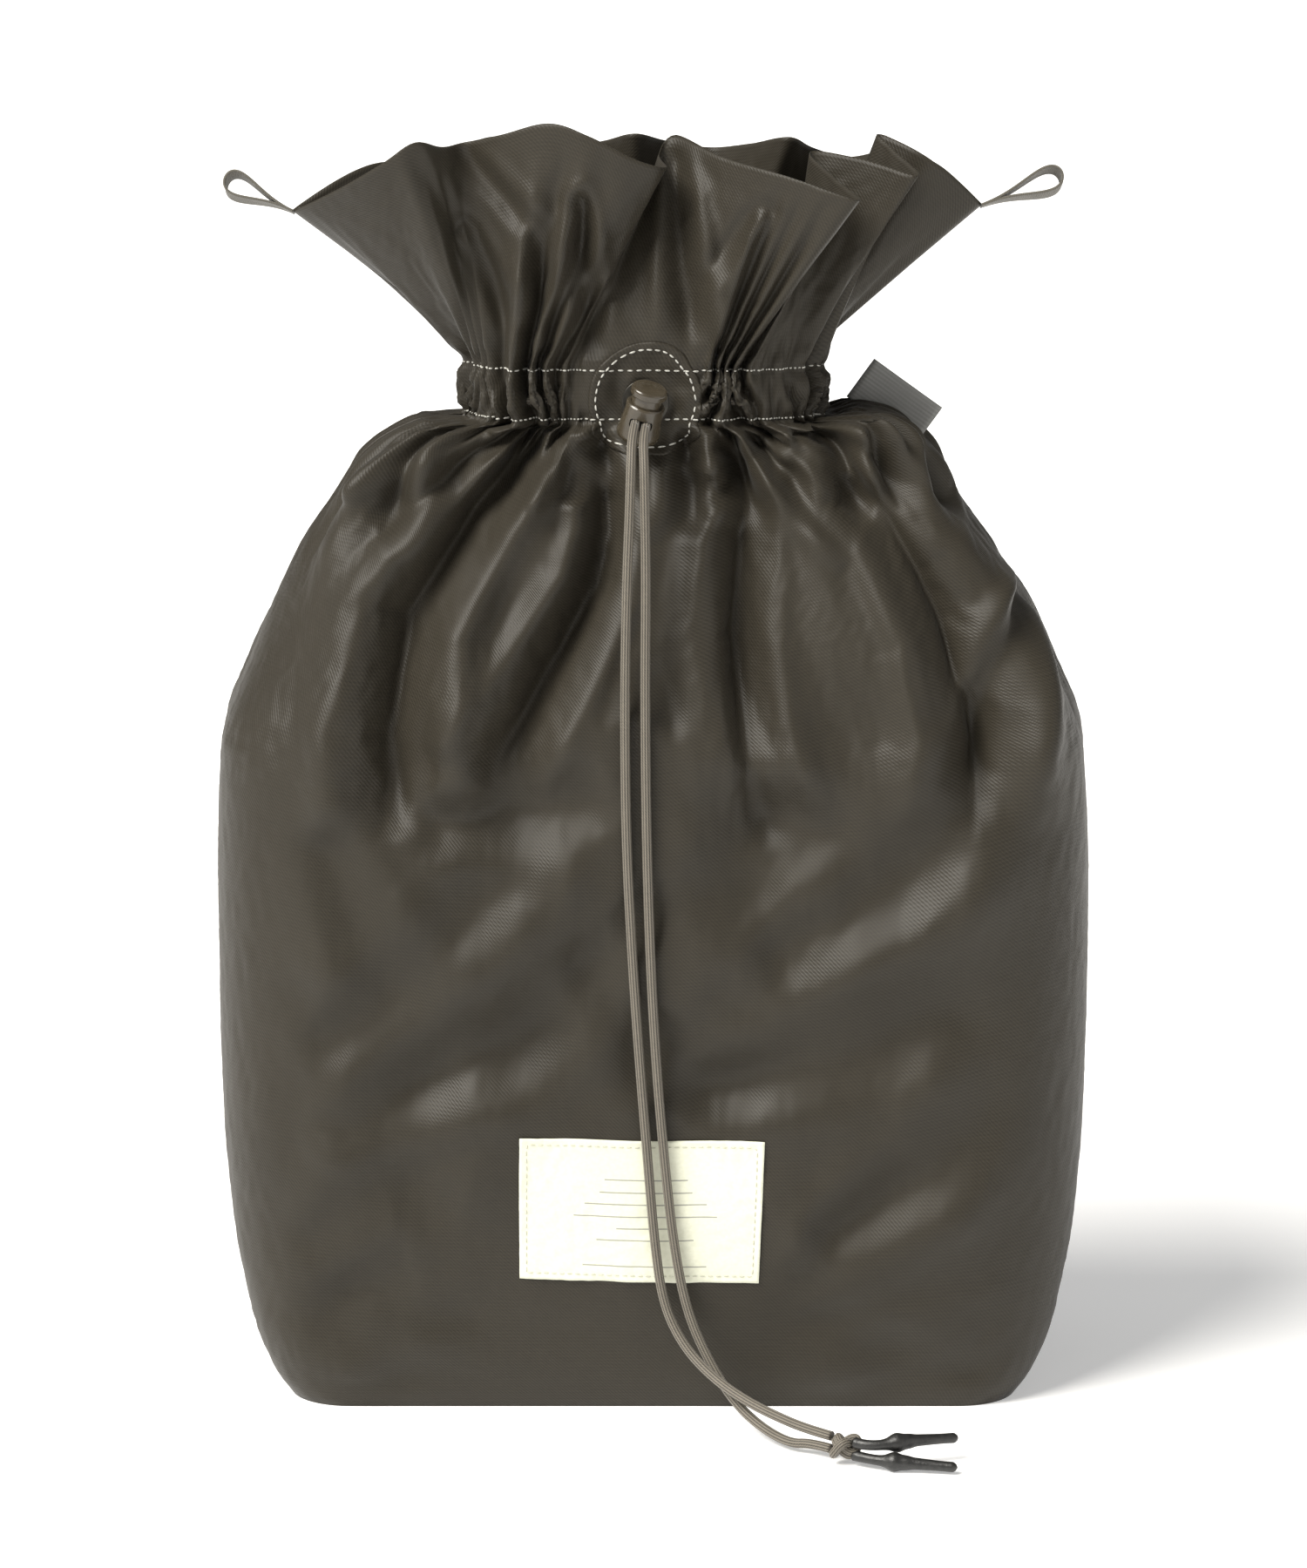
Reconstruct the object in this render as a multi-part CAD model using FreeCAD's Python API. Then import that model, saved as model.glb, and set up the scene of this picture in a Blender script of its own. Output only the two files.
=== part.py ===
"""Drawstring shoe bag: a boxed nylon bag with a gathered neck, a flared mouth, a round cord
patch with a sprung cord lock, an elastic drawcord whose two tails hang down the front to a
knot with two black sleeves, a webbing loop at each side seam, a sewn label and a side tab.

Millimetres. +Z is up, the front faces -Y and +X is to the right of someone who looks at it.
The origin is the middle of the base, on the surface that the bag stands on.
"""

import FreeCAD
import Part

import math
import os

from FreeCAD import Vector

# ---- driving dimensions -------------------------------------------------------------------
CLOTH = 1.0                 # wall of the CAD panels, thicker than the real cloth
NECK_LOW, NECK_HIGH = 314.0, 340.0
NECK_A, NECK_B = 58.0, 27.0     # half width and half depth of the gathered neck
CASING_LOW, CASING_HIGH = 314.0, 337.0
MOUTH_TIP_Z, MOUTH_TOP_Z = 384.0, 411.0
MOUTH_TIP_X = 112.0
CORD_R = 1.5
CORD_PITCH = 3.5            # between the two cords where they lie side by side
PATCH_R, PATCH_T = 18.5, 0.8
LABEL_W, LABEL_H, LABEL_T = 77.5, 50.0, 0.5
LABEL_X, LABEL_Z = -4.2, 63.0
BINDING_W = 8.0
THREAD = 0.5
LOOP_W, LOOP_T = 7.0, 0.9

# The bag's outline, one row per level: height, half width, half depth, corner radius, and
# how far an inner surface drops for each millimetre that it moves inwards.
LEVELS = [
    (0.0, 117.0, 57.0, 36.0, 0.0),
    (25.0, 130.0, 62.0, 42.0, 0.0),
    (60.0, 138.0, 65.0, 46.0, 0.0),
    (120.0, 140.5, 66.0, 48.0, 0.0),
    (180.0, 140.5, 64.0, 47.0, 0.0),
    (225.0, 138.5, 60.0, 45.0, 0.1),
    (245.0, 131.0, 54.0, 42.0, 0.3),
    (267.0, 120.0, 46.0, 38.0, 0.5),
    (287.0, 109.0, 38.0, 32.0, 0.6),
    (303.0, 92.0, 31.5, 26.0, 0.8),
    (NECK_LOW, NECK_A, NECK_B, 22.0, 0.5),
    (NECK_HIGH, NECK_A, NECK_B, 22.0, 0.0),
    (MOUTH_TIP_Z, MOUTH_TIP_X, 36.0, 28.0, 0.0),
    (420.0, 152.0, 43.0, 36.0, 0.0),
]

# The cord lock stands on the patch. Its plunger axis tips forward and leans to the right.
LOCK_AT = Vector(-3.6, -37.5, 321.4)        # middle of its cord hole
LOCK_TIP, LOCK_LEAN = 20.0, 14.0            # degrees
LOCK_TRAVEL = 3.0
BARREL_LOW, BARREL_TOP = -7.8, 5.2
BARREL_R_LOW, BARREL_R_TOP = 7.0, 6.2
BORE_R, BORE_LOW = 4.95, -6.6
STEM_R, STEM_LOW = 4.8, -2.55
CAP_R, CAP_LOW, CAP_TOP = 5.9, 8.3, 11.2
HOLE_W = 7.3                # cord slot in the barrel and the plunger
HOLE_LOW = -1.6             # its lower edge, just under the cords
TAB_W, TAB_H, TAB_OUT = 1.8, 1.2, 0.7       # snap tabs that run in the barrel's windows
TAB_LOW = 2.6
SPRING_R, SPRING_WIRE, SPRING_TURNS = 3.4, 0.3, 4

EYELET_R, EYELET_TUBE_R, EYELET_FLANGE_R, EYELET_T = 4.0, 4.6, 7.5, 0.6
TUNNEL_OUT = 6.2            # from the neck's outer face to the tunnel's inner wall
STRIP_T = 0.8
RING_IN = 4.4               # from the neck's outer face to the middle of the drawcord

# Routes of the two tails after they leave the lock, chosen by hand.
LEFT_ROUTE = [
    (-6.9, -54.0, 314.4), (-7.0, -57.4, 310.0), (-7.2, -59.6, 304.3), (-7.5, -60.8, 293.4),
    (-8.4, -62.3, 273.0), (-9.1, -65.0, 236.0), (-8.7, -67.8, 190.0), (-6.6, -69.4, 150.0),
    (-4.4, -69.5, 118.0), (-2.0, -68.9, 88.0), (0.2, -68.5, 60.0), (3.0, -69.6, 39.0),
    (9.5, -73.6, 26.0), (19.0, -81.0, 17.6), (30.0, -90.0, 12.4), (42.0, -99.5, 9.4),
]
RIGHT_ROUTE = [
    (-3.2, -53.6, 313.7), (-3.0, -56.9, 309.4), (-2.9, -59.0, 303.8), (-2.7, -60.3, 293.0),
    (-2.4, -62.0, 272.0), (-2.7, -64.9, 235.0), (-2.2, -67.7, 189.0), (-0.9, -69.4, 149.0),
    (0.9, -69.6, 117.0), (3.3, -68.9, 88.0), (6.2, -68.5, 60.0), (10.4, -69.6, 37.0),
    (17.6, -73.8, 21.0), (26.0, -82.0, 9.6), (34.5, -92.4, 4.6), (43.5, -102.0, 2.6),
]
FIRST_RUN = 5.0             # straight out of the lock
KNOT_AT = Vector(60.0, -113.0, 5.6)
KNOT_AIM = Vector(0.78, -0.62, -0.03)
KNOT_R, KNOT_LONG = 5.2, 10.0
TAIL_GAP = 2.1              # each tail's end from the middle of the knot's face
SLEEVE_R, BULGE_R = 1.9, 3.0


# ---- helpers ------------------------------------------------------------------------------
def save(name, shape):
    """Writes one sub-part, and says if something is wrong with it."""
    if not shape.isValid() or shape.Volume <= 0:
        print("PROBLEM", name, shape.isValid(), shape.Volume)
    shape.exportStep(f"parts/{name}.step")
    print(f"{name:22s} solids {len(shape.Solids)}  volume {shape.Volume:10.1f}")


def block(x0, x1, y0, y1, z0, z1):
    return Part.makeBox(x1 - x0, y1 - y0, z1 - z0, Vector(x0, y0, z0))


def section(a, b, r, z):
    """A rounded rectangle about the Z axis, as one closed wire of four lines and four arcs."""
    edges = []
    corners = [(a - r, b - r, 0), (r - a, b - r, 90), (r - a, r - b, 180), (a - r, r - b, 270)]
    for i, (cx, cy, start) in enumerate(corners):
        def on(angle, x=cx, y=cy):
            t = math.radians(angle)
            return Vector(x + r * math.cos(t), y + r * math.sin(t), z)
        nx, ny, _ = corners[(i + 1) % 4]
        end = on(start + 90)
        following = on(start + 90, nx, ny)
        edges.append(Part.Arc(on(start), on(start + 45), end).toShape())
        edges.append(Part.makeLine(end, following))
    return Part.Wire(edges)


def filled(inset):
    """The bag's whole outline as a solid, moved inwards by inset and cut to the arched mouth."""
    wires = [
        section(a - inset, b - inset, r - inset, z - inset * drop)
        for z, a, b, r, drop in LEVELS
    ]
    solid = Part.makeLoft(wires, True, True)
    rise = MOUTH_TOP_Z - MOUTH_TIP_Z
    arch_r = (MOUTH_TIP_X ** 2 + rise ** 2) / (2 * rise)
    arch = Part.makeCylinder(arch_r, 400, Vector(0, -200, MOUTH_TOP_Z - arch_r), Vector(0, 1, 0))
    return solid.common(arch)


def skin(outer, inner, region):
    """The part of the layer between two insets that lies in a region."""
    return filled(outer).cut(filled(inner)).common(region)


def tube_along(points, radius, radii):
    """A round tube along straight runs joined by tangent arcs, with radii[i] at points[i + 1]."""
    edges, start = [], points[0]
    for i in range(1, len(points) - 1):
        back = (points[i - 1] - points[i]).normalize()
        ahead = (points[i + 1] - points[i]).normalize()
        half = (math.pi - back.getAngle(ahead)) / 2
        reach = radii[i - 1] * math.tan(half)
        first = points[i] + back * reach
        last = points[i] + ahead * reach
        to_mid = (back + ahead).normalize()
        middle = points[i] + to_mid * (radii[i - 1] / math.cos(half) - radii[i - 1])
        edges += [Part.makeLine(start, first), Part.Arc(first, middle, last).toShape()]
        start = last
    edges.append(Part.makeLine(start, points[-1]))
    length = sum(e.Length for e in edges)
    ring = Part.makeCircle(radius, points[0], points[1] - points[0])
    tube = Part.Wire(edges).makePipeShell([Part.Wire([ring])], True, False)
    share = tube.Volume / (math.pi * radius ** 2 * length)
    print(f"tube of {length:.1f} mm, smallest radius {min(radii):.1f}, volume share {share:.4f}")
    return tube


def route_radii(points):
    """The largest arc at each point that its two runs allow."""
    found = []
    for i in range(1, len(points) - 1):
        back, ahead = points[i - 1] - points[i], points[i + 1] - points[i]
        half = (math.pi - back.getAngle(ahead)) / 2
        found.append(0.45 * min(back.Length, ahead.Length) / math.tan(half))
    return found


# ---- the lock's own frame: x across the two cords, y back into the bag, z out of the cap ----
tip, lean = math.radians(LOCK_TIP), math.radians(LOCK_LEAN)
LOCK_Z = Vector(math.sin(lean), -math.sin(tip) * math.cos(lean), math.cos(tip) * math.cos(lean))
forward = Vector(0, -1, 0)
LOCK_OUT = (forward - LOCK_Z * forward.dot(LOCK_Z)).normalize()
LOCK_X = LOCK_Z.cross(LOCK_OUT)
LOCK_FRAME = FreeCAD.Matrix(
    LOCK_X.x, -LOCK_OUT.x, LOCK_Z.x, LOCK_AT.x,
    LOCK_X.y, -LOCK_OUT.y, LOCK_Z.y, LOCK_AT.y,
    LOCK_X.z, -LOCK_OUT.z, LOCK_Z.z, LOCK_AT.z,
    0, 0, 0, 1,
)
EXIT_REACH = 7.6            # from the middle of the lock to where the tails begin

# Slid down its cords, the lock comes to hang on their straight stretch, at SLID_AT and along
# SLID_WAY. It gets there on an arc that is tangent to the cords at both ends.
SLID_WAY = Vector(0.0, -0.09, -1.0).normalize()
SLID_REACH = 22.0
SLID_AT = LOCK_AT + (LOCK_OUT + SLID_WAY) * SLID_REACH


def placed(shape):
    return shape.transformShape(LOCK_FRAME, True)


def slide_arc():
    """The pivot, axis and angle of the arc that the lock's middle follows down the cords."""
    axis = LOCK_OUT.cross(SLID_WAY).normalize()
    turn = LOCK_OUT.getAngle(SLID_WAY)
    radius = SLID_REACH / math.tan(turn / 2)
    return LOCK_AT + axis.cross(LOCK_OUT) * radius, axis, math.degrees(turn)


def turned(outline):
    """A solid of revolution about the lock's own z axis, from a closed outline of (r, z) and arcs."""
    wire = Part.Wire(outline)
    return Part.Face(wire).revolve(Vector(0, 0, 0), Vector(0, 0, 1), 360)


def at(r, z):
    return Vector(r, 0, z)


def line(*pairs):
    return [Part.makeLine(at(*p), at(*q)) for p, q in zip(pairs, pairs[1:])]


def arc(p, q, s):
    return [Part.Arc(at(*p), at(*q), at(*s)).toShape()]


def slot(width, low, high):
    """A round-ended opening along the lock's y axis."""
    r = min(width, high - low) / 2 - 0.05
    box = block(-width / 2, width / 2, -12, 12, low, high)
    along = [e for e in box.Edges if abs(e.Vertexes[0].Y - e.Vertexes[-1].Y) > 20]
    return box.makeFillet(min(r, 1.2), along)


# ---- bag cloth ----------------------------------------------------------------------------
def panels():
    wall = filled(0).cut(filled(CLOTH))
    eyelet = Part.makeCylinder(EYELET_TUBE_R, 30, Vector(EYELET_AT.x, -40, EYELET_AT.z), Vector(0, 1, 0))
    front = wall.common(block(-200, 200, -100, 0, -10, 500)).cut(eyelet)
    back = wall.common(block(-200, 200, 0, 100, -10, 500))
    save("front_panel", front)
    save("back_panel", back)
    save("base_panel", filled(CLOTH).common(block(-200, 200, -100, 100, 0, CLOTH)))


def casing():
    """The strip sewn inside the neck. With the panel it makes the tunnel that the cord runs in."""
    outer = skin(CLOTH, TUNNEL_OUT + STRIP_T, block(-200, 200, -100, 100, CASING_LOW, CASING_HIGH))
    tunnel = skin(
        CLOTH, TUNNEL_OUT, block(-200, 200, -100, 100, CASING_LOW + STRIP_T, CASING_HIGH - STRIP_T)
    )
    strip = outer.cut(tunnel)
    save("casing_front", strip.common(block(-200, 200, -100, 0, 0, 500)))
    save("casing_back", strip.common(block(-200, 200, 0, 100, 0, 500)))


def bindings():
    """Tape over the raw edges of each side seam, inside, from the base to the casing."""
    half = BINDING_W / 2
    tape = skin(CLOTH, 2 * CLOTH, block(-200, 200, -half, half, 8, NECK_LOW - 14))
    save("seam_binding_left", tape.common(block(-200, 0, -half, half, 0, 500)))
    save("seam_binding_right", tape.common(block(0, 200, -half, half, 0, 500)))


def neck_disc(radius):
    """A cylinder through the front of the neck, centred on the eyelet."""
    return Part.makeCylinder(radius, 60, Vector(EYELET_AT.x, -70, EYELET_AT.z), Vector(0, 1, 0))


def patch_and_stitches():
    patch = skin(-PATCH_T, 0, neck_disc(PATCH_R)).cut(neck_disc(EYELET_TUBE_R))
    save("eyelet_patch", patch)
    ring = neck_disc(PATCH_R - 2.0).cut(neck_disc(PATCH_R - 2.0 - THREAD))
    save("patch_stitch", skin(-PATCH_T - THREAD, -PATCH_T, ring))
    for name, z in (("casing_stitch_upper", CASING_HIGH - 1.2), ("casing_stitch_lower", CASING_LOW + 0.8)):
        band = skin(-THREAD, 0, block(-200, 200, -100, 100, z, z + THREAD))
        save(name, band.cut(neck_disc(PATCH_R)))


def eyelet():
    """A two-part metal eyelet through the panel and the patch: a flanged tube and its washer."""
    front_y = -NECK_B - PATCH_T
    back_y = -NECK_B + CLOTH
    axis = Vector(0, 1, 0)
    flange_at = Vector(EYELET_AT.x, front_y - EYELET_T, EYELET_AT.z)
    flange = Part.makeCylinder(EYELET_FLANGE_R, EYELET_T, flange_at, axis)
    flange = flange.makeFillet(0.4, [flange.Edges[i] for i in range(3) if flange.Edges[i].Closed
                                     and abs(flange.Edges[i].CenterOfMass.y - flange_at.y) < 0.01])
    tube_long = back_y + EYELET_T - flange_at.y
    tube = Part.makeCylinder(EYELET_TUBE_R, tube_long, flange_at, axis)
    bore = Part.makeCylinder(EYELET_R, tube_long + 2, flange_at - axis, axis)
    save("eyelet_barrel", flange.fuse(tube).removeSplitter().cut(bore))
    washer_at = Vector(EYELET_AT.x, back_y, EYELET_AT.z)
    washer = Part.makeCylinder(EYELET_FLANGE_R - 0.8, EYELET_T, washer_at, axis)
    save("eyelet_washer", washer.cut(Part.makeCylinder(EYELET_TUBE_R, 4, washer_at - axis, axis)))


def label():
    half_w, half_h = LABEL_W / 2, LABEL_H / 2
    where = block(LABEL_X - half_w, LABEL_X + half_w, -100, 0, LABEL_Z - half_h, LABEL_Z + half_h)
    save("label_patch", skin(-LABEL_T, 0, where))
    inset = 2.2
    outer = block(LABEL_X - half_w + inset, LABEL_X + half_w - inset, -100, 0,
                  LABEL_Z - half_h + inset, LABEL_Z + half_h - inset)
    edge = inset + THREAD
    inner = block(LABEL_X - half_w + edge, LABEL_X + half_w - edge, -100, 0,
                  LABEL_Z - half_h + edge, LABEL_Z + half_h - edge)
    save("label_stitch", skin(-LABEL_T - 0.4, -LABEL_T, outer.cut(inner)))


def side_tab():
    """A folded woven tab that stands out of the right side seam at the shoulder."""
    root_a, root_b = Vector(66, 0, 331), Vector(87, 0, 312)
    along = (root_b - root_a).normalize()
    out = Vector(-along.z, 0, along.x)
    deep, sunk = 11.0, 14.0
    corners = [root_a - out * sunk, root_b - out * sunk, root_b + out * deep, root_a + out * deep]
    face = Part.Face(Part.makePolygon(corners + corners[:1]))
    tab = face.extrude(Vector(0, 1.4, 0))
    tab.translate(Vector(0, -0.7, 0))
    outside = tab.cut(filled(0))
    save("side_tab", max(outside.Solids, key=lambda s: s.BoundBox.XMax))


# ---- hanging loops ------------------------------------------------------------------------
def hang_loop(side):
    """A webbing loop from the seam's top: two legs that part, joined by a round end."""
    root = Vector(MOUTH_TIP_X - 6, 0, MOUTH_TIP_Z - 3.5)
    end_at, end_r = Vector(133.0, 0, 393.5), 5.4
    reach = end_at - root
    tilt = math.atan2(reach.z, reach.x)
    spread = math.asin((end_r - LOOP_T) / reach.Length)

    def on(angle, r):
        return end_at + Vector(math.cos(angle), 0, math.sin(angle)) * r

    up, down = tilt + math.pi / 2 + spread, tilt - math.pi / 2 - spread

    def drop_shape(r):
        """A teardrop: the end circle of radius r with two lines to the root."""
        first, last = on(up, r), on(down, r)
        base = Vector(math.cos(up), 0, math.sin(up)) * (r - end_r + LOOP_T)
        base_low = Vector(math.cos(down), 0, math.sin(down)) * (r - end_r + LOOP_T)
        edges = [
            Part.makeLine(root + base, first),
            Part.Arc(first, on(tilt, r), last).toShape(),
            Part.makeLine(last, root + base_low),
        ]
        if base.Length > 0.01:
            edges.append(Part.makeLine(root + base_low, root + base))
        face = Part.Face(Part.Wire(edges))
        solid = face.extrude(Vector(0, LOOP_W, 0))
        solid.translate(Vector(0, -LOOP_W / 2, 0))
        return solid

    loop = drop_shape(end_r).cut(drop_shape(end_r - LOOP_T)).cut(filled(0))
    loop = max(loop.Solids, key=lambda s: s.BoundBox.XMax)
    if side < 0:
        loop = loop.mirror(Vector(0, 0, 0), Vector(1, 0, 0))
    return loop


# ---- cord lock ----------------------------------------------------------------------------
def lock():
    round_r = 1.6
    bell = turned(
        line((0, BARREL_LOW), (BARREL_R_LOW - 2.6, BARREL_LOW))
        + arc((BARREL_R_LOW - 2.6, BARREL_LOW), (BARREL_R_LOW - 0.76, BARREL_LOW + 0.76),
              (BARREL_R_LOW, BARREL_LOW + 2.6))
        + arc((BARREL_R_LOW, BARREL_LOW + 2.6), (BARREL_R_TOP + 0.25, -1.0), (BARREL_R_TOP, BARREL_TOP - 0.4))
        + line((BARREL_R_TOP, BARREL_TOP - 0.4), (BARREL_R_TOP - 0.4, BARREL_TOP), (BORE_R, BARREL_TOP),
               (BORE_R, BORE_LOW), (0, BORE_LOW), (0, BARREL_LOW))
    )
    window_low, window_high = TAB_LOW - LOCK_TRAVEL - 0.15, TAB_LOW + TAB_H + 0.05
    windows = block(-12, 12, -TAB_W / 2 - 0.2, TAB_W / 2 + 0.2, window_low, window_high)
    barrel = bell.cut(slot(HOLE_W, HOLE_LOW - 0.1, CORD_R + 0.1)).cut(windows)
    save("lock_barrel", placed(barrel))

    cap = turned(
        line((0, STEM_LOW), (STEM_R, STEM_LOW), (STEM_R, CAP_LOW), (CAP_R - 0.3, CAP_LOW))
        + arc((CAP_R - 0.3, CAP_LOW), (CAP_R - 0.09, CAP_LOW + 0.09), (CAP_R, CAP_LOW + 0.3))
        + line((CAP_R, CAP_LOW + 0.3), (CAP_R, CAP_TOP - 1.2))
        + arc((CAP_R, CAP_TOP - 1.2), (CAP_R - 0.35, CAP_TOP - 0.55), (CAP_R - 1.2, CAP_TOP - 0.25))
        + arc((CAP_R - 1.2, CAP_TOP - 0.25), (3.0, CAP_TOP - 0.06), (1.4, CAP_TOP))
        + line((1.4, CAP_TOP), (0, CAP_TOP), (0, STEM_LOW))
    )
    tabs = block(-STEM_R - TAB_OUT, STEM_R + TAB_OUT, -TAB_W / 2, TAB_W / 2, TAB_LOW, TAB_LOW + TAB_H)
    through = slot(HOLE_W - 0.2, HOLE_LOW, CORD_R + LOCK_TRAVEL + 0.15)
    save("lock_plunger", placed(cap.fuse(tabs).cut(through)))

    room = STEM_LOW - BORE_LOW - 2 * SPRING_WIRE - 0.04
    steps = 16 * SPRING_TURNS
    coil = [
        Vector(SPRING_R * math.cos(k * math.pi / 8), SPRING_R * math.sin(k * math.pi / 8), room * k / steps)
        for k in range(steps + 1)
    ]
    bends = [Part.Arc(*coil[k:k + 3]).toShape() for k in range(0, steps, 2)]
    section_ring = Part.Wire([Part.makeCircle(SPRING_WIRE, coil[0], coil[1] - coil[0])])
    spring = Part.Wire(bends).makePipeShell([section_ring], True, False)
    spring.translate(Vector(0, 0, BORE_LOW + SPRING_WIRE + 0.02))
    save("lock_spring", placed(spring))


# ---- drawcord -----------------------------------------------------------------------------
def cord_start(side):
    """Where one tail leaves the lock: side -1 is the left cord and 1 the right one."""
    return LOCK_AT + LOCK_OUT * EXIT_REACH + LOCK_X * (side * CORD_PITCH / 2)


def drawcord():
    a, b, z = NECK_A - RING_IN, NECK_B - RING_IN, 325.5
    corner_r = 17.0
    inside = (-b - LOCK_AT.y) / -LOCK_OUT.y
    left, right = (cord_start(s) - LOCK_OUT * (EXIT_REACH + inside) for s in (-1, 1))
    points = [
        cord_start(-1), left,
        Vector(-a, -b, z), Vector(-a, b, z), Vector(a, b, z), Vector(a, -b, z),
        right, cord_start(1),
    ]
    save("drawcord_ring", tube_along(points, CORD_R, [3.0, corner_r, corner_r, corner_r, corner_r, 3.0]))


def tails():
    aim = Vector(KNOT_AIM).normalize()
    across = Vector(0, 0, 1).cross(aim).normalize()
    over = aim.cross(across)
    face_at = KNOT_AT - aim * (KNOT_LONG / 2)
    for name, side, route in (("left", -1, LEFT_ROUTE), ("right", 1, RIGHT_ROUTE)):
        start = cord_start(side)
        end = face_at - over * (TAIL_GAP * side)
        points = [start, start + LOCK_OUT * FIRST_RUN]
        points += [Vector(*p) for p in route]
        points += [end - aim * 8.0, end]
        radii = route_radii(points)
        print(name, "radii", [round(r, 1) for r in radii])
        print(name, "runs", [round((q - p).Length, 1) for p, q in zip(points, points[1:])])
        save(f"drawcord_tail_{name}", tube_along(points, CORD_R, radii))

    knot = Part.makeCylinder(KNOT_R, KNOT_LONG, face_at, aim)
    rims = [e for e in knot.Edges if e.Closed]
    knot = knot.makeFillet(1.2, rims)
    save("cord_knot", knot)

    far_face = KNOT_AT + aim * (KNOT_LONG / 2)
    for name, side, end in (("left", -1, Vector(96.5, -109.0, 7.4)), ("right", 1, Vector(95.5, -124.5, 2.1))):
        start = far_face - over * (2.05 * side)
        joint = start + Vector(10.5, -3.0 - side * 0.6, -0.6 if side < 0 else -0.4)
        sleeve = Part.makeCylinder(SLEEVE_R, (joint - start).Length, start, joint - start)
        bulge = Part.makeSphere(BULGE_R, joint + (end - joint).normalize() * 2.0)
        tail = Part.makeCylinder(SLEEVE_R, (end - joint).Length, joint, end - joint)
        tips[name] = sleeve.fuse(bulge).fuse(tail)
    tips["left"] = tips["left"].cut(tips["right"])
    for name, tip_shape in tips.items():
        tip_shape = tip_shape.cut(knot).common(block(-300, 300, -300, 300, 0, 500))
        save(f"cord_tip_{name}", max(tip_shape.Solids, key=lambda s: s.Volume))


# The cords run straight back from the lock, through the middle of the eyelet.
EYELET_AT = LOCK_AT - LOCK_OUT * ((LOCK_AT.y + NECK_B - CLOTH / 2) / LOCK_OUT.y)
tips = {}

os.makedirs("parts", exist_ok=True)
panels()
casing()
bindings()
patch_and_stitches()
eyelet()
label()
side_tab()
save("hang_loop_left", hang_loop(-1))
save("hang_loop_right", hang_loop(1))
lock()
drawcord()
tails()
print("plunger axis", LOCK_Z * -1)
print("lock slides about", *slide_arc(), "to", SLID_AT)
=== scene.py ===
"""Looks of a drawstring shoe bag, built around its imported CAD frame.

The bag's cloth is laid out as a grid in its own coordinates: s runs round the bag in millimetres
of cloth, from the left side seam over the front, and t runs up it from the base. It is folded
into a pleated neck and a flared mouth, and a cloth simulation settles it. Everything sewn to
it, such as the label, the patch and the stitches, is placed by the same two coordinates.
"""

import math

import bpy
import numpy as np
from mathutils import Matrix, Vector


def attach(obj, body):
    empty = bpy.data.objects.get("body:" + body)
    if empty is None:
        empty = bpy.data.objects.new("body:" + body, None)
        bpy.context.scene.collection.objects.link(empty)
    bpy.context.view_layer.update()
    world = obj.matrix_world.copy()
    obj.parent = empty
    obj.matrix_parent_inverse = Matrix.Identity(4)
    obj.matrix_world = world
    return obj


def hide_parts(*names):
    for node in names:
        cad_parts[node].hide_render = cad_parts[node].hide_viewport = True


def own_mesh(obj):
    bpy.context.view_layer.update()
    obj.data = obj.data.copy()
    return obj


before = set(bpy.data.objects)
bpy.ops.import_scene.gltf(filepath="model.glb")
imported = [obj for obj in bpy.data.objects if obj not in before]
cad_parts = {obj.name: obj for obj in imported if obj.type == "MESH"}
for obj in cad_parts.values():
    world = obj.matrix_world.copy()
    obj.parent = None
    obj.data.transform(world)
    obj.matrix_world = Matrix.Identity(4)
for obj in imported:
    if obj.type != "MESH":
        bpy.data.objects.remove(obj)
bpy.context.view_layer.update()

MM = 0.001
BAG = "bag"

# ---- the cloth's own sizes, in millimetres ----
ROUND = 756.0  # all the way round the bag
BODY, CASING, FLARE = 345.0, 19.0, 73.0
TOP = BODY + CASING + FLARE
COLUMNS, CELL = 320, 2.9  # the simulated grid
FINE_COLUMNS, FINE_ROW = 240, 1.62  # the shown grid, per panel
CALM_BELOW = 205.0  # under this height the cloth is calm and its rows are coarser
THICK = 0.3
NECK_Z, CASING_TOP_Z = 318.0, 337.0
FRONT_MID = ROUND / 4
PATCH_X = -2.6  # the patch and the eyelet sit a little left of the middle
PATCH_S, PATCH_T, PATCH_R = FRONT_MID + PATCH_X, BODY + 7.5, 18.5
PATCH_HOLE, PATCH_LIFT = 4.6, 0.55
EYELET_AT = (PATCH_X, -26.3, 325.1)
BINDING_HALF = 4.0  # half the width of the tape over each side seam
LABEL_W, LABEL_H = 79.5, 50.5
LABEL_S, LABEL_T, LABEL_TURN = FRONT_MID - 4.2, 73.5, math.radians(-1.2)
LABEL_X, LABEL_Z = -2.6, 60.0  # where the label's middle is on the front of the bag
# Ruled write-on lines: height above the label's lower edge, and half length.
LABEL_RULES = [(36.5, 13.6), (32.0, 15.2), (27.8, 20.0), (23.4, 23.5), (19.2, 9.5), (15.0, 16.0), (5.6, 20.5)]
RULE_MIDDLE, RULE_HALF = LABEL_W / 2 + 1.6, 0.24

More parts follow.
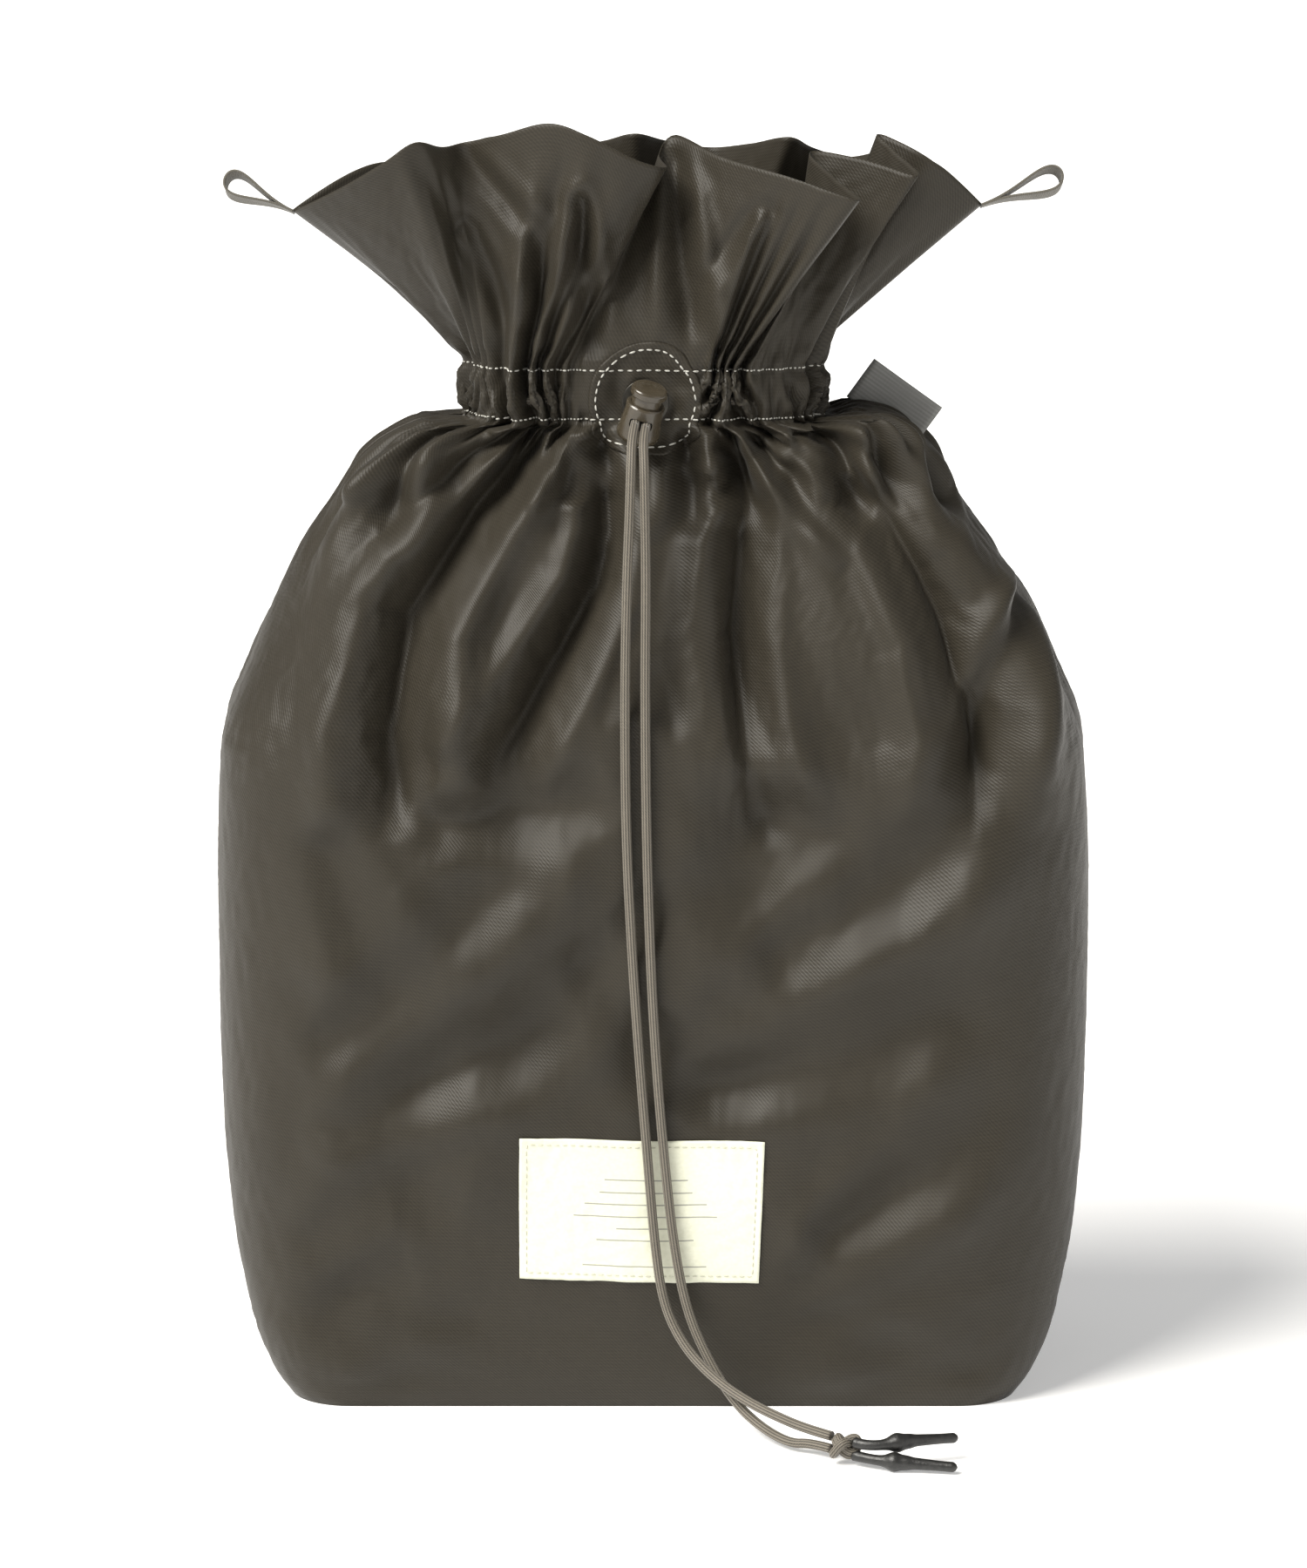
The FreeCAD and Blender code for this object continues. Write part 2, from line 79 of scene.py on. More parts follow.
# Height, half width, half depth and corner radius of the filled body.
LEVELS = np.array([
    (0, 119.0, 56.5, 20), (6, 124.0, 58.5, 23), (20, 131.5, 61.0, 30), (48, 138.0, 63.5, 42),
    (78, 141.0, 65.0, 45), (120, 142.0, 65.5, 46), (180, 142.0, 64.0, 45), (218, 140.5, 61.0, 41),
    (236, 131.0, 56.5, 37), (259, 120.5, 49.5, 34), (282, 108.0, 41.5, 30), (297, 95.0, 36.0, 26),
    (306, 82.0, 31.5, 23), (312, 71.5, 29.0, 21.5), (NECK_Z, 58.5, 27.0, 20),
])
NECK = (53.5, 26.0, 19.0)  # half width, half depth and corner radius of the gathered neck
NECK_SHIFT = -4.0  # the neck leans a little to the left
PUFF_FROM, PUFF_LEFT, PUFF_RIGHT = 284.0, 6.0, 13.0  # how the shoulders rise beside the neck

# The mouth's rim, from the left tip over the front to the right tip and back behind.
RIM_FRONT = [
    (-116.5, 0, 384), (-101, -20, 392), (-86, -33, 401), (-75, -36, 408), (-67, -25, 406),
    (-60, -17, 407), (-48, -26, 410), (-33, -34, 414), (-20, -38, 410), (-6, -38, 403),
    (4, -32, 400), (2, -15, 403), (7, -10, 409), (22, -28, 403), (42, -45, 398), (64, -53, 391),
    (57, -33, 397), (50, -14, 404), (66, -20, 402), (84, -29, 397), (77, -12, 404), (72, -2, 409),
    (84, -10, 404), (94, -10, 397), (106, 0, 386),
]
RIM_BACK = [
    (94, 16, 397), (82, 8, 403), (76, 22, 402), (64, 36, 399), (52, 22, 403), (44, 12, 407),
    (32, 26, 404), (18, 38, 402), (4, 26, 405), (-6, 14, 408), (-16, 26, 405), (-30, 39, 402),
    (-44, 26, 405), (-52, 14, 407), (-64, 26, 403), (-78, 34, 398), (-91, 18, 398), (-103, 10, 393),
]
RIM_STEPS = 24  # points of the smooth rim to each point above

# Creases: points (x, z) on a panel, depth and half width. They run down from the neck, down the
# mouth and over the slack lower body.
CREASE = 1.9  # all depths are scaled by this
FRONT_CREASES = [
    ([(-37, 317), (-57, 293), (-78, 259), (-84, 222), (-80, 190)], 9.0, 9.5),
    ([(-53, 315), (-76, 294), (-88, 284)], 5.0, 6.0),
    ([(-27, 317), (-27, 302), (-26, 294)], 5.5, 5.5),
    ([(-17, 311), (-15, 285), (-18, 268), (-32, 244), (-54, 206)], 6.5, 7.5),
    ([(10, 313), (12, 296), (13, 285)], 5.0, 5.5),
    ([(24, 316), (25, 301), (18, 294)], 5.5, 5.0),
    ([(33, 313), (28, 284), (25, 254), (28, 223), (38, 186)], 5.5, 8.0),
    ([(37, 317), (55, 296), (69, 288)], 5.0, 6.0),
    ([(52, 317), (76, 290), (94, 258), (104, 222), (102, 192)], 7.5, 9.0),
    ([(57, 318), (84, 300), (100, 289)], 5.0, 6.5),
    ([(114, 262), (111, 235), (105, 208)], 4.0, 6.5),
]
MOUTH_CREASES = [
    ([(-75, 404), (-62, 378), (-45, 345)], 2.6, 4.5),
    ([(-60, 378), (-49, 342)], -2.2, 3.5),
    ([(-61, 405), (-38, 380), (-34, 345)], 2.4, 4.0),
    ([(-23, 390), (-22, 365), (-22, 342)], 3.4, 4.0),
    ([(7, 402), (9, 370), (12, 342)], 3.8, 4.5),
    ([(34, 384), (22, 362), (20, 344)], -2.4, 4.0),
]
BACK_CREASES = [
    ([(40, 317), (60, 290), (74, 255), (80, 226)], 8.0, 9.0),
    ([(22, 315), (20, 285), (24, 258)], 6.0, 7.0),
    ([(3, 315), (2, 280), (-4, 240)], 6.5, 8.0),
    ([(-18, 315), (-24, 290), (-22, 268)], 5.0, 6.0),
    ([(-36, 317), (-48, 288), (-56, 250), (-66, 215)], 8.0, 9.0),
    ([(-55, 317), (-80, 292), (-95, 270)], 5.5, 6.5),
]
FRONT_DENTS = [
    ([(4, 240), (22, 192), (42, 152)], 2.6, 11), ([(42, 152), (76, 172), (112, 208)], 2.6, 12),
    ([(-66, 194), (-30, 201), (2, 197)], 2.4, 11), ([(-104, 186), (-86, 142), (-58, 110)], 2.4, 12),
    ([(-98, 96), (-60, 116), (-22, 152)], 2.4, 11), ([(18, 108), (58, 118), (104, 142)], 2.2, 12),
    ([(58, 62), (92, 82), (118, 114)], 2.2, 11), ([(-112, 58), (-86, 82), (-60, 74)], 2.0, 11),
]
BACK_DENTS = [
    ([(-70, 120), (-40, 150), (-8, 206)], 2.0, 15), ([(20, 200), (48, 158), (96, 140)], 2.0, 15),
    ([(-98, 84), (-52, 72), (-12, 92)], 1.8, 15), ([(30, 62), (64, 88), (110, 84)], 1.8, 15),
]

# The cords' ways down, from below the lock to the knot.
LEFT_ROUTE = [
    (-6.9, -54.0, 314.4), (-7.0, -57.4, 310.0), (-7.2, -59.6, 304.3), (-7.5, -60.8, 293.4),
    (-8.4, -62.3, 273.0), (-9.1, -65.0, 236.0), (-8.7, -67.8, 190.0), (-6.6, -69.4, 150.0),
    (-4.4, -69.5, 118.0), (-2.0, -68.9, 88.0), (0.2, -68.5, 60.0), (3.0, -69.6, 39.0),
    (9.5, -73.6, 26.0), (19.0, -81.0, 17.6), (30.0, -90.0, 12.4), (42.0, -99.5, 9.4),
]
RIGHT_ROUTE = [
    (-3.2, -53.6, 313.7), (-3.0, -56.9, 309.4), (-2.9, -59.0, 303.8), (-2.7, -60.3, 293.0),
    (-2.4, -62.0, 272.0), (-2.7, -64.9, 235.0), (-2.2, -67.7, 189.0), (-0.9, -69.4, 149.0),
    (0.9, -69.6, 117.0), (3.3, -68.9, 88.0), (6.2, -68.5, 60.0), (10.4, -69.6, 37.0),
    (17.6, -73.8, 21.0), (26.0, -82.0, 9.6), (34.5, -92.4, 4.6), (43.5, -102.0, 2.6),
]


# ---- small helpers ----
def smoothstep(low, high, x):
    u = np.clip((x - low) / (high - low), 0, 1)
    return u * u * (3 - 2 * u)


def hump(low, rise, fall, high, x):
    """0 outside low to high, 1 from rise to fall, and smooth between."""
    return smoothstep(low, rise, x) * (1 - smoothstep(fall, high, x))


def unit(v):
    """Vectors scaled to a length of 1."""
    return np.asarray(v) / np.linalg.norm(v, axis=-1, keepdims=True)


def run_along(line):
    """How far along a line each of its points is."""
    return np.concatenate([[0], np.cumsum(np.linalg.norm(np.diff(line, axis=0), axis=1))])


def make_piece(name, points, faces, material, node, uv=None, body=BAG):
    """A smooth mesh object that stands for a CAD node and rides on a body. Points are in
    millimetres."""
    me = bpy.data.meshes.new(name)
    me.from_pydata((np.asarray(points, dtype=float).reshape(-1, 3) * MM).tolist(), [], faces)
    if uv is not None:
        layer = me.uv_layers.new(name="cloth")
        loops = np.zeros(len(me.loops), dtype=int)
        me.loops.foreach_get("vertex_index", loops)
        layer.data.foreach_set("uv", np.asarray(uv, dtype=float)[loops].ravel())
    me.polygons.foreach_set("use_smooth", [True] * len(me.polygons))
    me.materials.append(material)
    me.update()
    piece = bpy.data.objects.new(name, me)
    bpy.context.scene.collection.objects.link(piece)
    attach(piece, body)
    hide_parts(node)
    return piece


def thicken(piece, thick, offset=0):
    """Gives a sheet its thickness in millimetres, to both sides, or inward where offset is -1."""
    solid = piece.modifiers.new("thickness", "SOLIDIFY")
    solid.thickness, solid.offset = thick * MM, offset


def grid_faces(rows, columns, closed=False):
    """Quads of a grid of points, row by row."""
    across = columns if closed else columns - 1
    return [
        (j * columns + i, j * columns + (i + 1) % columns,
         (j + 1) * columns + (i + 1) % columns, (j + 1) * columns + i)
        for j in range(rows - 1) for i in range(across)
    ]


def waves(x, counts, seed):
    """Smooth noise that repeats each time x passes a whole number."""
    rng = np.random.default_rng(seed)
    total = np.zeros_like(np.asarray(x, dtype=float))
    for k, count in enumerate(counts):
        total += rng.normal() / math.sqrt(k + 1) * np.sin(2 * np.pi * (count * x + rng.random()))
    return total


def soft_noise(u, v, size, seed, terms=28):
    """Smooth noise over a plane, about 1 high, with features of about the given size."""
    rng = np.random.default_rng(seed)
    total = np.zeros_like(u)
    for _ in range(terms):
        angle, k = rng.random() * 2 * np.pi, (0.6 + 0.8 * rng.random()) * 2 * np.pi / size
        total += np.sin(k * (u * math.cos(angle) + v * math.sin(angle)) + rng.random() * 2 * np.pi)
    return total * math.sqrt(2 / terms)


def spline_weights(u):
    """Weights of four neighbouring points at a share of the way from the second to the third."""
    return [0.5 * (-u + 2 * u ** 2 - u ** 3), 0.5 * (2 - 5 * u ** 2 + 3 * u ** 3),
            0.5 * (u + 4 * u ** 2 - 3 * u ** 3), 0.5 * (u ** 3 - u ** 2)]


def closed_spline(points, steps):
    """A closed smooth curve through points."""
    p = np.asarray(points, dtype=float)
    weights = spline_weights((np.arange(steps) / steps)[:, None])
    spans = [sum(w * p[(i + k - 1) % len(p)] for k, w in enumerate(weights)) for i in range(len(p))]
    return np.vstack(spans + [p[:1]])


def facing(y):
    """How far a place is on the side of the bag that y points out of: 0 at the seams, then 1."""
    return smoothstep(8, 24, y)


# ---- the cloth before it settles ----
def outline(a, b, r, along):
    """Points and outward normals at fractions of the way round a rounded rectangle, from its left
    side's middle over the front."""
    wide, deep, arc = 2 * (a - r), 2 * (b - r), math.pi / 2 * r
    total = 2 * (wide + deep) + 4 * arc
    d = (along % 1.0) * total
    runs = [
        (deep / 2, (-a, 0), (-1, 0), (0, -1)),
        (arc, (-(a - r), -(b - r)), 180, None),
        (wide, (-(a - r), -b), (0, -1), (1, 0)),
        (arc, (a - r, -(b - r)), 270, None),
        (deep, (a, -(b - r)), (1, 0), (0, 1)),
        (arc, (a - r, b - r), 0, None),
        (wide, (a - r, b), (0, 1), (-1, 0)),
        (arc, (-(a - r), b - r), 90, None),
        (deep / 2 + 1, (-a, b - r), (-1, 0), (0, -1)),
    ]
    points, normals, start = np.zeros((len(d), 2)), np.zeros((len(d), 2)), 0.0
    for length, at, aim, way in runs:
        here = d >= start - 1e-9
        u = (d[here] - start)[:, None]
        if way is None:
            angle = np.radians(aim) + u[:, 0] / r
            normals[here] = np.stack([np.cos(angle), np.sin(angle)], 1)
            points[here] = np.array(at) + r * normals[here]
        else:
            normals[here] = aim
            points[here] = np.array(at) + u * np.array(way)
        start += length
    return points, normals, total


def level(z):
    """The body's half width, half depth and corner radius at a height, eased over a stretch of
    height. The shoulder is crisper at the sides than on the front and the back."""
    found = []
    for k, ease in ((1, 8.0), (2, 18.0), (3, 18.0)):
        ease = max(0.01, min(ease, 0.7 * (z - 4), NECK_Z - z))
        found.append(np.interp(z + np.linspace(-ease, ease, 9), LEVELS[:, 0], LEVELS[:, k]).mean())
    return found


def crease_field(x, z, creases, crisp=1.5):
    """How far the creases push the cloth in (negative) or out, at each place on a panel."""
    field = np.zeros_like(x)
    for line, depth, width in creases:
        line = np.array(line, dtype=float)
        steps = np.linalg.norm(np.diff(line, axis=0), axis=1)
        whole, nearest, share, before = steps.sum(), np.full_like(x, 1e9), np.zeros_like(x), 0.0
        for p, q, step in zip(line, line[1:], steps):
            way = (q - p) / step
            u = np.clip((x - p[0]) * way[0] + (z - p[1]) * way[1], 0, step)
            far = np.hypot(x - p[0] - u * way[0], z - p[1] - u * way[1])
            closer = far < nearest
            nearest = np.where(closer, far, nearest)
            share = np.where(closer, (before + u) / whole, share)
            before += step
        w = width * (0.6 + 0.6 * share)
        valley = np.exp(-(nearest / w) ** crisp)
        banks = np.exp(-((nearest - 1.9 * w) / (0.8 * w)) ** 2)
        fade = (0.75 + 0.25 * share) * (1 - 0.95 * share ** 8)
        field += CREASE * depth * fade * (0.5 * banks - valley)
    return field


def pleat_phases(along):
    """The folds round the neck, from the finest ones at the stitching to the widest: height, where
    their middle is, how far they reach above and below it, and their phase in turns."""
    return [
        (4.2, 318, 9, 9, 46 * along + 0.34 * waves(along, (3, 5, 9, 13), 5)),
        (5.4, 306, 8, 16, 24 * along + 0.30 * waves(along, (2, 3, 5, 7), 11)),
        (6.4, 284, 15, 26, 15 * along + 0.28 * waves(along, (2, 3, 4), 23)),
        (6.8, 256, 20, 42, 9 * along + 0.25 * waves(along, (1, 2, 3), 37)),
    ]


def neck_share(along):
    """Where round the gathered neck each part of the cloth goes. Behind the patch it lies flat."""
    a, b, r = NECK
    neck_round = 4 * (a + b) - (8 - 2 * math.pi) * r
    off = np.abs(along * ROUND - PATCH_S)
    flat = 1 - smoothstep(PATCH_R - 3, PATCH_R + 5, off)
    base = (neck_round - flat.mean() * ROUND) / (1 - flat.mean()) / ROUND
    rate = base + (1 - base) * flat
    share = np.cumsum(rate) - rate / 2
    share = share / rate.sum()
    # The middle of the patch lands on its own place on the neck.
    at_patch = np.interp(PATCH_S / ROUND, along, share)
    return share - at_patch + 0.25 + (PATCH_X - NECK_SHIFT) / neck_round, flat


def folded_cloth():
    """The grid's rows, and its points as folded, before the cloth settles."""
    rows = np.concatenate([
        np.linspace(0, BODY, round(BODY / CELL) + 1)[:-1],
        BODY + np.linspace(0, CASING, 9)[:-1],
        BODY + CASING + np.linspace(0, FLARE, 26),
    ])
    along = np.arange(COLUMNS) / COLUMNS
    points = np.zeros((len(rows), COLUMNS, 3))
    share, flat = neck_share(along)

    # The body: each thread runs up the filled shape, and drifts round it towards its pleat.
    heights = np.linspace(0, NECK_Z, 160)
    dense = np.zeros((len(heights), COLUMNS, 3))
    out_way = np.zeros((len(heights), COLUMNS, 2))
    for j, z in enumerate(heights):
        gather = smoothstep(228, NECK_Z, z) ** 1.3
        dense[j, :, :2], out_way[j], _ = outline(*level(z), along + gather * (share - along))
        dense[j, :, 0] += NECK_SHIFT * smoothstep(255, NECK_Z, z)
        rise = math.sin(math.pi * np.clip((z - PUFF_FROM) / (NECK_Z - PUFF_FROM), 0, 1) ** 1.6)
        puffed = np.interp(dense[j, :, 0], [-70, -45, 40, 66], [PUFF_LEFT, 0, 0, PUFF_RIGHT])
        dense[j, :, 2] = z + puffed * rise
    steps = np.linalg.norm(np.diff(dense, axis=0), axis=2)
    run = np.vstack([np.zeros(COLUMNS), np.cumsum(steps, axis=0)])
    body = rows < BODY - 0.01
    normal = np.zeros((body.sum(), COLUMNS, 2))
    for i in range(COLUMNS):
        up = rows[body] / BODY * run[-1, i]
        for k in range(3):
            points[body, i, k] = np.interp(up, run[:, i], dense[:, i, k])
        for k in range(2):
            normal[:, i, k] = np.interp(up, run[:, i], out_way[:, i, k])
    x, y, z = (points[body][:, :, k] for k in range(3))
    out = np.zeros_like(z)
    for height, middle, above, below, phase in pleat_phases(along):
        near = np.exp(-(np.where(z > middle, (z - middle) / above, (middle - z) / below)) ** 2)
        out += height * near * np.cos(2 * np.pi * phase) * (1 - 0.8 * flat * smoothstep(285, 305, z))
    out *= 0.45 + 0.55 * smoothstep(6, 20, np.abs(y))
    out *= 1 - 0.62 * facing(-y) * (1 - smoothstep(286, 300, z))
    out += facing(-y) * crease_field(x, z, FRONT_CREASES) + facing(y) * crease_field(x, z, BACK_CREASES)
    points[body, :, 0] += out * normal[:, :, 0]
    points[body, :, 1] += out * normal[:, :, 1]

    # The casing: fine pleats, pinched at the two rows of stitching.
    casing = (rows >= BODY - 0.01) & (rows < BODY + CASING + 0.01)
    phase = pleat_phases(along)[0][4]
    plain, way, _ = outline(*NECK, share)
    plain = plain + [NECK_SHIFT, 0]
    for j in np.where(casing)[0]:
        u = (rows[j] - BODY) / CASING
        pinch = math.exp(-((u - 0.08) / 0.1) ** 2) + math.exp(-((u - 0.92) / 0.1) ** 2)
        high = 3.7 * (1 - 0.25 * pinch) * (1 + 0.4 * waves(along, (7, 11, 17), 3))
        turn = 2 * np.pi * phase + 1.5 * waves(along, (5, 9, 14), 8) * math.sin(3.4 * u - 1.3)
        out = high * np.cos(turn) * (1 - 0.93 * flat) + 0.6 - 0.9 * pinch + 2.4 * flat
        points[j, :, :2] = plain + way * out[:, None]
        points[j, :, 2] = NECK_Z + u * (CASING_TOP_Z - NECK_Z)

    # The mouth: from the casing's pleats to the rim's wide folds.
    rim = closed_spline(RIM_FRONT + RIM_BACK, RIM_STEPS)
    length = run_along(rim)
    tip = length[RIM_STEPS * (len(RIM_FRONT) - 1)]
    at = np.where(along < 0.5, along * 2 * tip, tip + (along * 2 - 1) * (length[-1] - tip))
    edge = np.stack([np.interp(at, length, rim[:, k]) for k in range(3)], 1)
    last = points[np.where(casing)[0][-1]]
    for j in np.where(rows > BODY + CASING + 0.01)[0]:
        u = ((rows[j] - BODY - CASING) / FLARE) ** 0.92
        points[j] = last * (1 - u) + edge * u
        front = smoothstep(4, 16, -points[j, :, 1]) * math.sin(math.pi * u) ** 0.5
        points[j, :, 1] -= front * crease_field(points[j, :, 0], points[j, :, 2], MOUTH_CREASES)
    return rows, points


# ---- the cloth simulation ----
SIM_SCALE = 0.01  # a millimetre of cloth in the simulation's units
SIM_FRAMES = 16
SIM_SETTINGS = {
    "quality": 6, "mass": 0.1, "air_damping": 2.0, "tension_stiffness": 40,
    "compression_stiffness": 40, "shear_stiffness": 15, "bending_stiffness": 0.2,
    "tension_damping": 10, "compression_damping": 10, "shear_damping": 10, "bending_damping": 1.0,
    "vertex_group_mass": "held", "pin_stiffness": 5.0, "use_pressure": True,
    "uniform_pressure_force": 0.5, "vertex_group_pressure": "filled",
}


def hold_weights(rows):
    """How firmly each point of the cloth is held where it was folded, from 0 to 1."""
    t = np.repeat(rows, COLUMNS)
    along = np.tile(np.arange(COLUMNS) / COLUMNS, len(rows))
    to_seam = np.minimum(np.abs(along - 0.5), np.minimum(along, 1 - along))
    off_patch = np.hypot(along * ROUND - PATCH_S, t - PATCH_T)
    hold = np.where(t < CALM_BELOW, 0.10, np.where(t < 300, 0.09, 0.05))
    hold = np.where((t < BODY) & (to_seam < 0.012), 0.45, hold)
    stitched = (np.abs(t - BODY) < 2) | (np.abs(t - BODY - CASING) < 2)
    hold = np.where((t > BODY - 2) & (t < BODY + CASING + 2), np.where(stitched, 1.0, 0.12), hold)
    hold = np.where(t > BODY + CASING + 2, 0.03, hold)
    hold = np.where(t > TOP - 4, 0.3, hold)
    hold = np.where((t > BODY + CASING) & (to_seam < 0.01), 0.7, hold)
    hold = np.where(off_patch < PATCH_R, 0.8, hold)
    return np.where(t < 0.5, 1.0, hold)


def settle(rows, points):
    """Runs the cloth simulation on the folded cloth, and returns its points."""
    me = bpy.data.meshes.new("settling")
    me.from_pydata((points.reshape(-1, 3) * SIM_SCALE).tolist(), [], grid_faces(len(rows), COLUMNS, True))
    ob = bpy.data.objects.new("settling", me)
    bpy.context.scene.collection.objects.link(ob)
    hold = hold_weights(rows)
    held = ob.vertex_groups.new(name="held")
    for weight in np.unique(hold):
        held.add(np.where(hold == weight)[0].tolist(), float(weight), "REPLACE")
    filled = ob.vertex_groups.new(name="filled")
    filled.add(np.where(np.repeat(rows, COLUMNS) < BODY)[0].tolist(), 1.0, "REPLACE")
    modifier = ob.modifiers.new("Cloth", "CLOTH")
    for key, value in SIM_SETTINGS.items():
        setattr(modifier.settings, key, value)
    modifier.settings.effector_weights.gravity = 0.15
    modifier.collision_settings.use_self_collision = False
    modifier.collision_settings.use_collision = False
    modifier.point_cache.frame_start = 1
    modifier.point_cache.frame_end = SIM_FRAMES
    for number in range(1, SIM_FRAMES + 1):
        bpy.context.scene.frame_set(number)
    result = ob.evaluated_get(bpy.context.evaluated_depsgraph_get()).data
    settled = np.zeros(len(result.vertices) * 3)
    result.vertices.foreach_get("co", settled)
    bpy.data.objects.remove(ob)
    bpy.data.meshes.remove(me)
    bpy.context.scene.frame_set(1)
    return settled.reshape(points.shape) / SIM_SCALE


def slack_dents(seed, count):
    """Random soft dents of a panel's lower body, as crease lines."""
    rng = np.random.default_rng(seed)
    lines = []
    for _ in range(count):
        x, z = rng.uniform(-104, 104), rng.uniform(18, 225)
        angle, half = math.radians(rng.choice((-1, 1)) * rng.uniform(8, 55)), rng.uniform(24, 58)
        way = np.array([math.cos(angle), math.sin(angle)]) * half
        bow = np.array([-way[1], way[0]]) * rng.uniform(-0.25, 0.25)
        middle = np.array([x, z])
        depth, width = rng.uniform(1.0, 2.4), rng.uniform(9, 18)
        lines.append(([tuple(middle - way), tuple(middle + bow), tuple(middle + way)], depth, width))
    return lines


def dress(points):
    """Gives the settled cloth its slack lower body, and keeps it behind the cords and the eyelet."""
    points = points.copy()
    x, y, z = (points[:, :, k].copy() for k in range(3))
    for sign, seed, dents, count in ((-1, 61, FRONT_DENTS, 12), (1, 64, BACK_DENTS, 8)):
        inner = facing(sign * y) * (1 - smoothstep(98, 128, np.abs(x)))
        calm = inner * hump(8, 40, 225, 270, z)
        lines = dents + slack_dents(seed + 1, count)
        relief = calm * (1.8 * soft_noise(x, z * 1.3, 120, seed) + crease_field(x, z, lines, 2.0))
        if sign < 0:
            label_side = 1 - smoothstep(34, 52, np.abs(x - LABEL_X))
            relief *= 1 - 0.8 * label_side * (1 - smoothstep(22, 40, np.abs(z - LABEL_Z)))
        low = inner * smoothstep(35, 80, np.abs(x + 10)) * hump(3, 12, 24, 60, z)
        relief += 1.7 * low * soft_noise(x * 0.7 - z * 0.5, z * 1.2 + x * 0.2, 32, seed + 2, 16)
        points[:, :, 1] += sign * relief
    route = (np.array(LEFT_ROUTE) + np.array(RIGHT_ROUTE)) / 2
    route = route[route[:, 2] > 30][::-1]
    cord_x, cord_y = (np.interp(z, route[:, 2], route[:, k]) for k in (0, 1))
    room = 2.1 + 1.0 * hump(28, 38, 96, 106, z)  # from the cloth to the cords' middle line
    near = (1 - smoothstep(7, 26, np.abs(x - cord_x))) * hump(10, 30, 300, 313, z)
    points[:, :, 1] += near * (y < 0) * np.maximum(0, cord_y + room - points[:, :, 1])
    off = np.hypot(x - EYELET_AT[0], z - EYELET_AT[2])
    flat = (1 - smoothstep(9, 21, off)) * (y < 0)
    points[:, :, 1] += flat * (EYELET_AT[1] - y)
    return points


class Cloth:
    """The settled cloth, which can be asked for the place of any point by its s and t."""

    def __init__(self, rows, points):
        self.rows, self.points = rows, points

    def plain(self, s, t):
        """Smooth interpolation of the grid, closed in s."""
        s, t = np.broadcast_arrays(np.asarray(s, dtype=float), np.asarray(t, dtype=float))
        column = s / ROUND * COLUMNS
        row = np.clip(np.interp(t, self.rows, np.arange(len(self.rows))), 0, len(self.rows) - 1.001)
        j, i = np.floor(row).astype(int), np.floor(column).astype(int)
        total = np.zeros(s.shape + (3,))
        for dj, wj in enumerate(spline_weights(row - j)):
            jj = np.clip(j + dj - 1, 0, len(self.rows) - 1)
            for di, wi in enumerate(spline_weights(column - i)):
                total += (wj * wi)[..., None] * self.points[jj, (i + di - 1) % COLUMNS]
        return total

    def normal(self, s, t):
        step = 1.2
        round_way = self.plain(s + step, t) - self.plain(s - step, t)
        up_way = self.plain(s, t + step) - self.plain(s, t - step)
        n = np.cross(round_way, up_way)
        return n / np.maximum(np.linalg.norm(n, axis=-1, keepdims=True), 1e-9)

    def at(self, s, t, lift=0.0):
        """Points on the cloth's outer face, lifted off it by some millimetres."""
        s, t = np.broadcast_arrays(np.asarray(s, dtype=float), np.asarray(t, dtype=float))
        crumple = hump(BODY - 25, BODY - 5, BODY + CASING, BODY + CASING + 12, t)
        ripple = 0.3 * crumple * soft_noise(s, t * 0.8, 9.0, 71, 18)
        return self.plain(s, t) + self.normal(s, t) * (ripple + lift)[..., None]


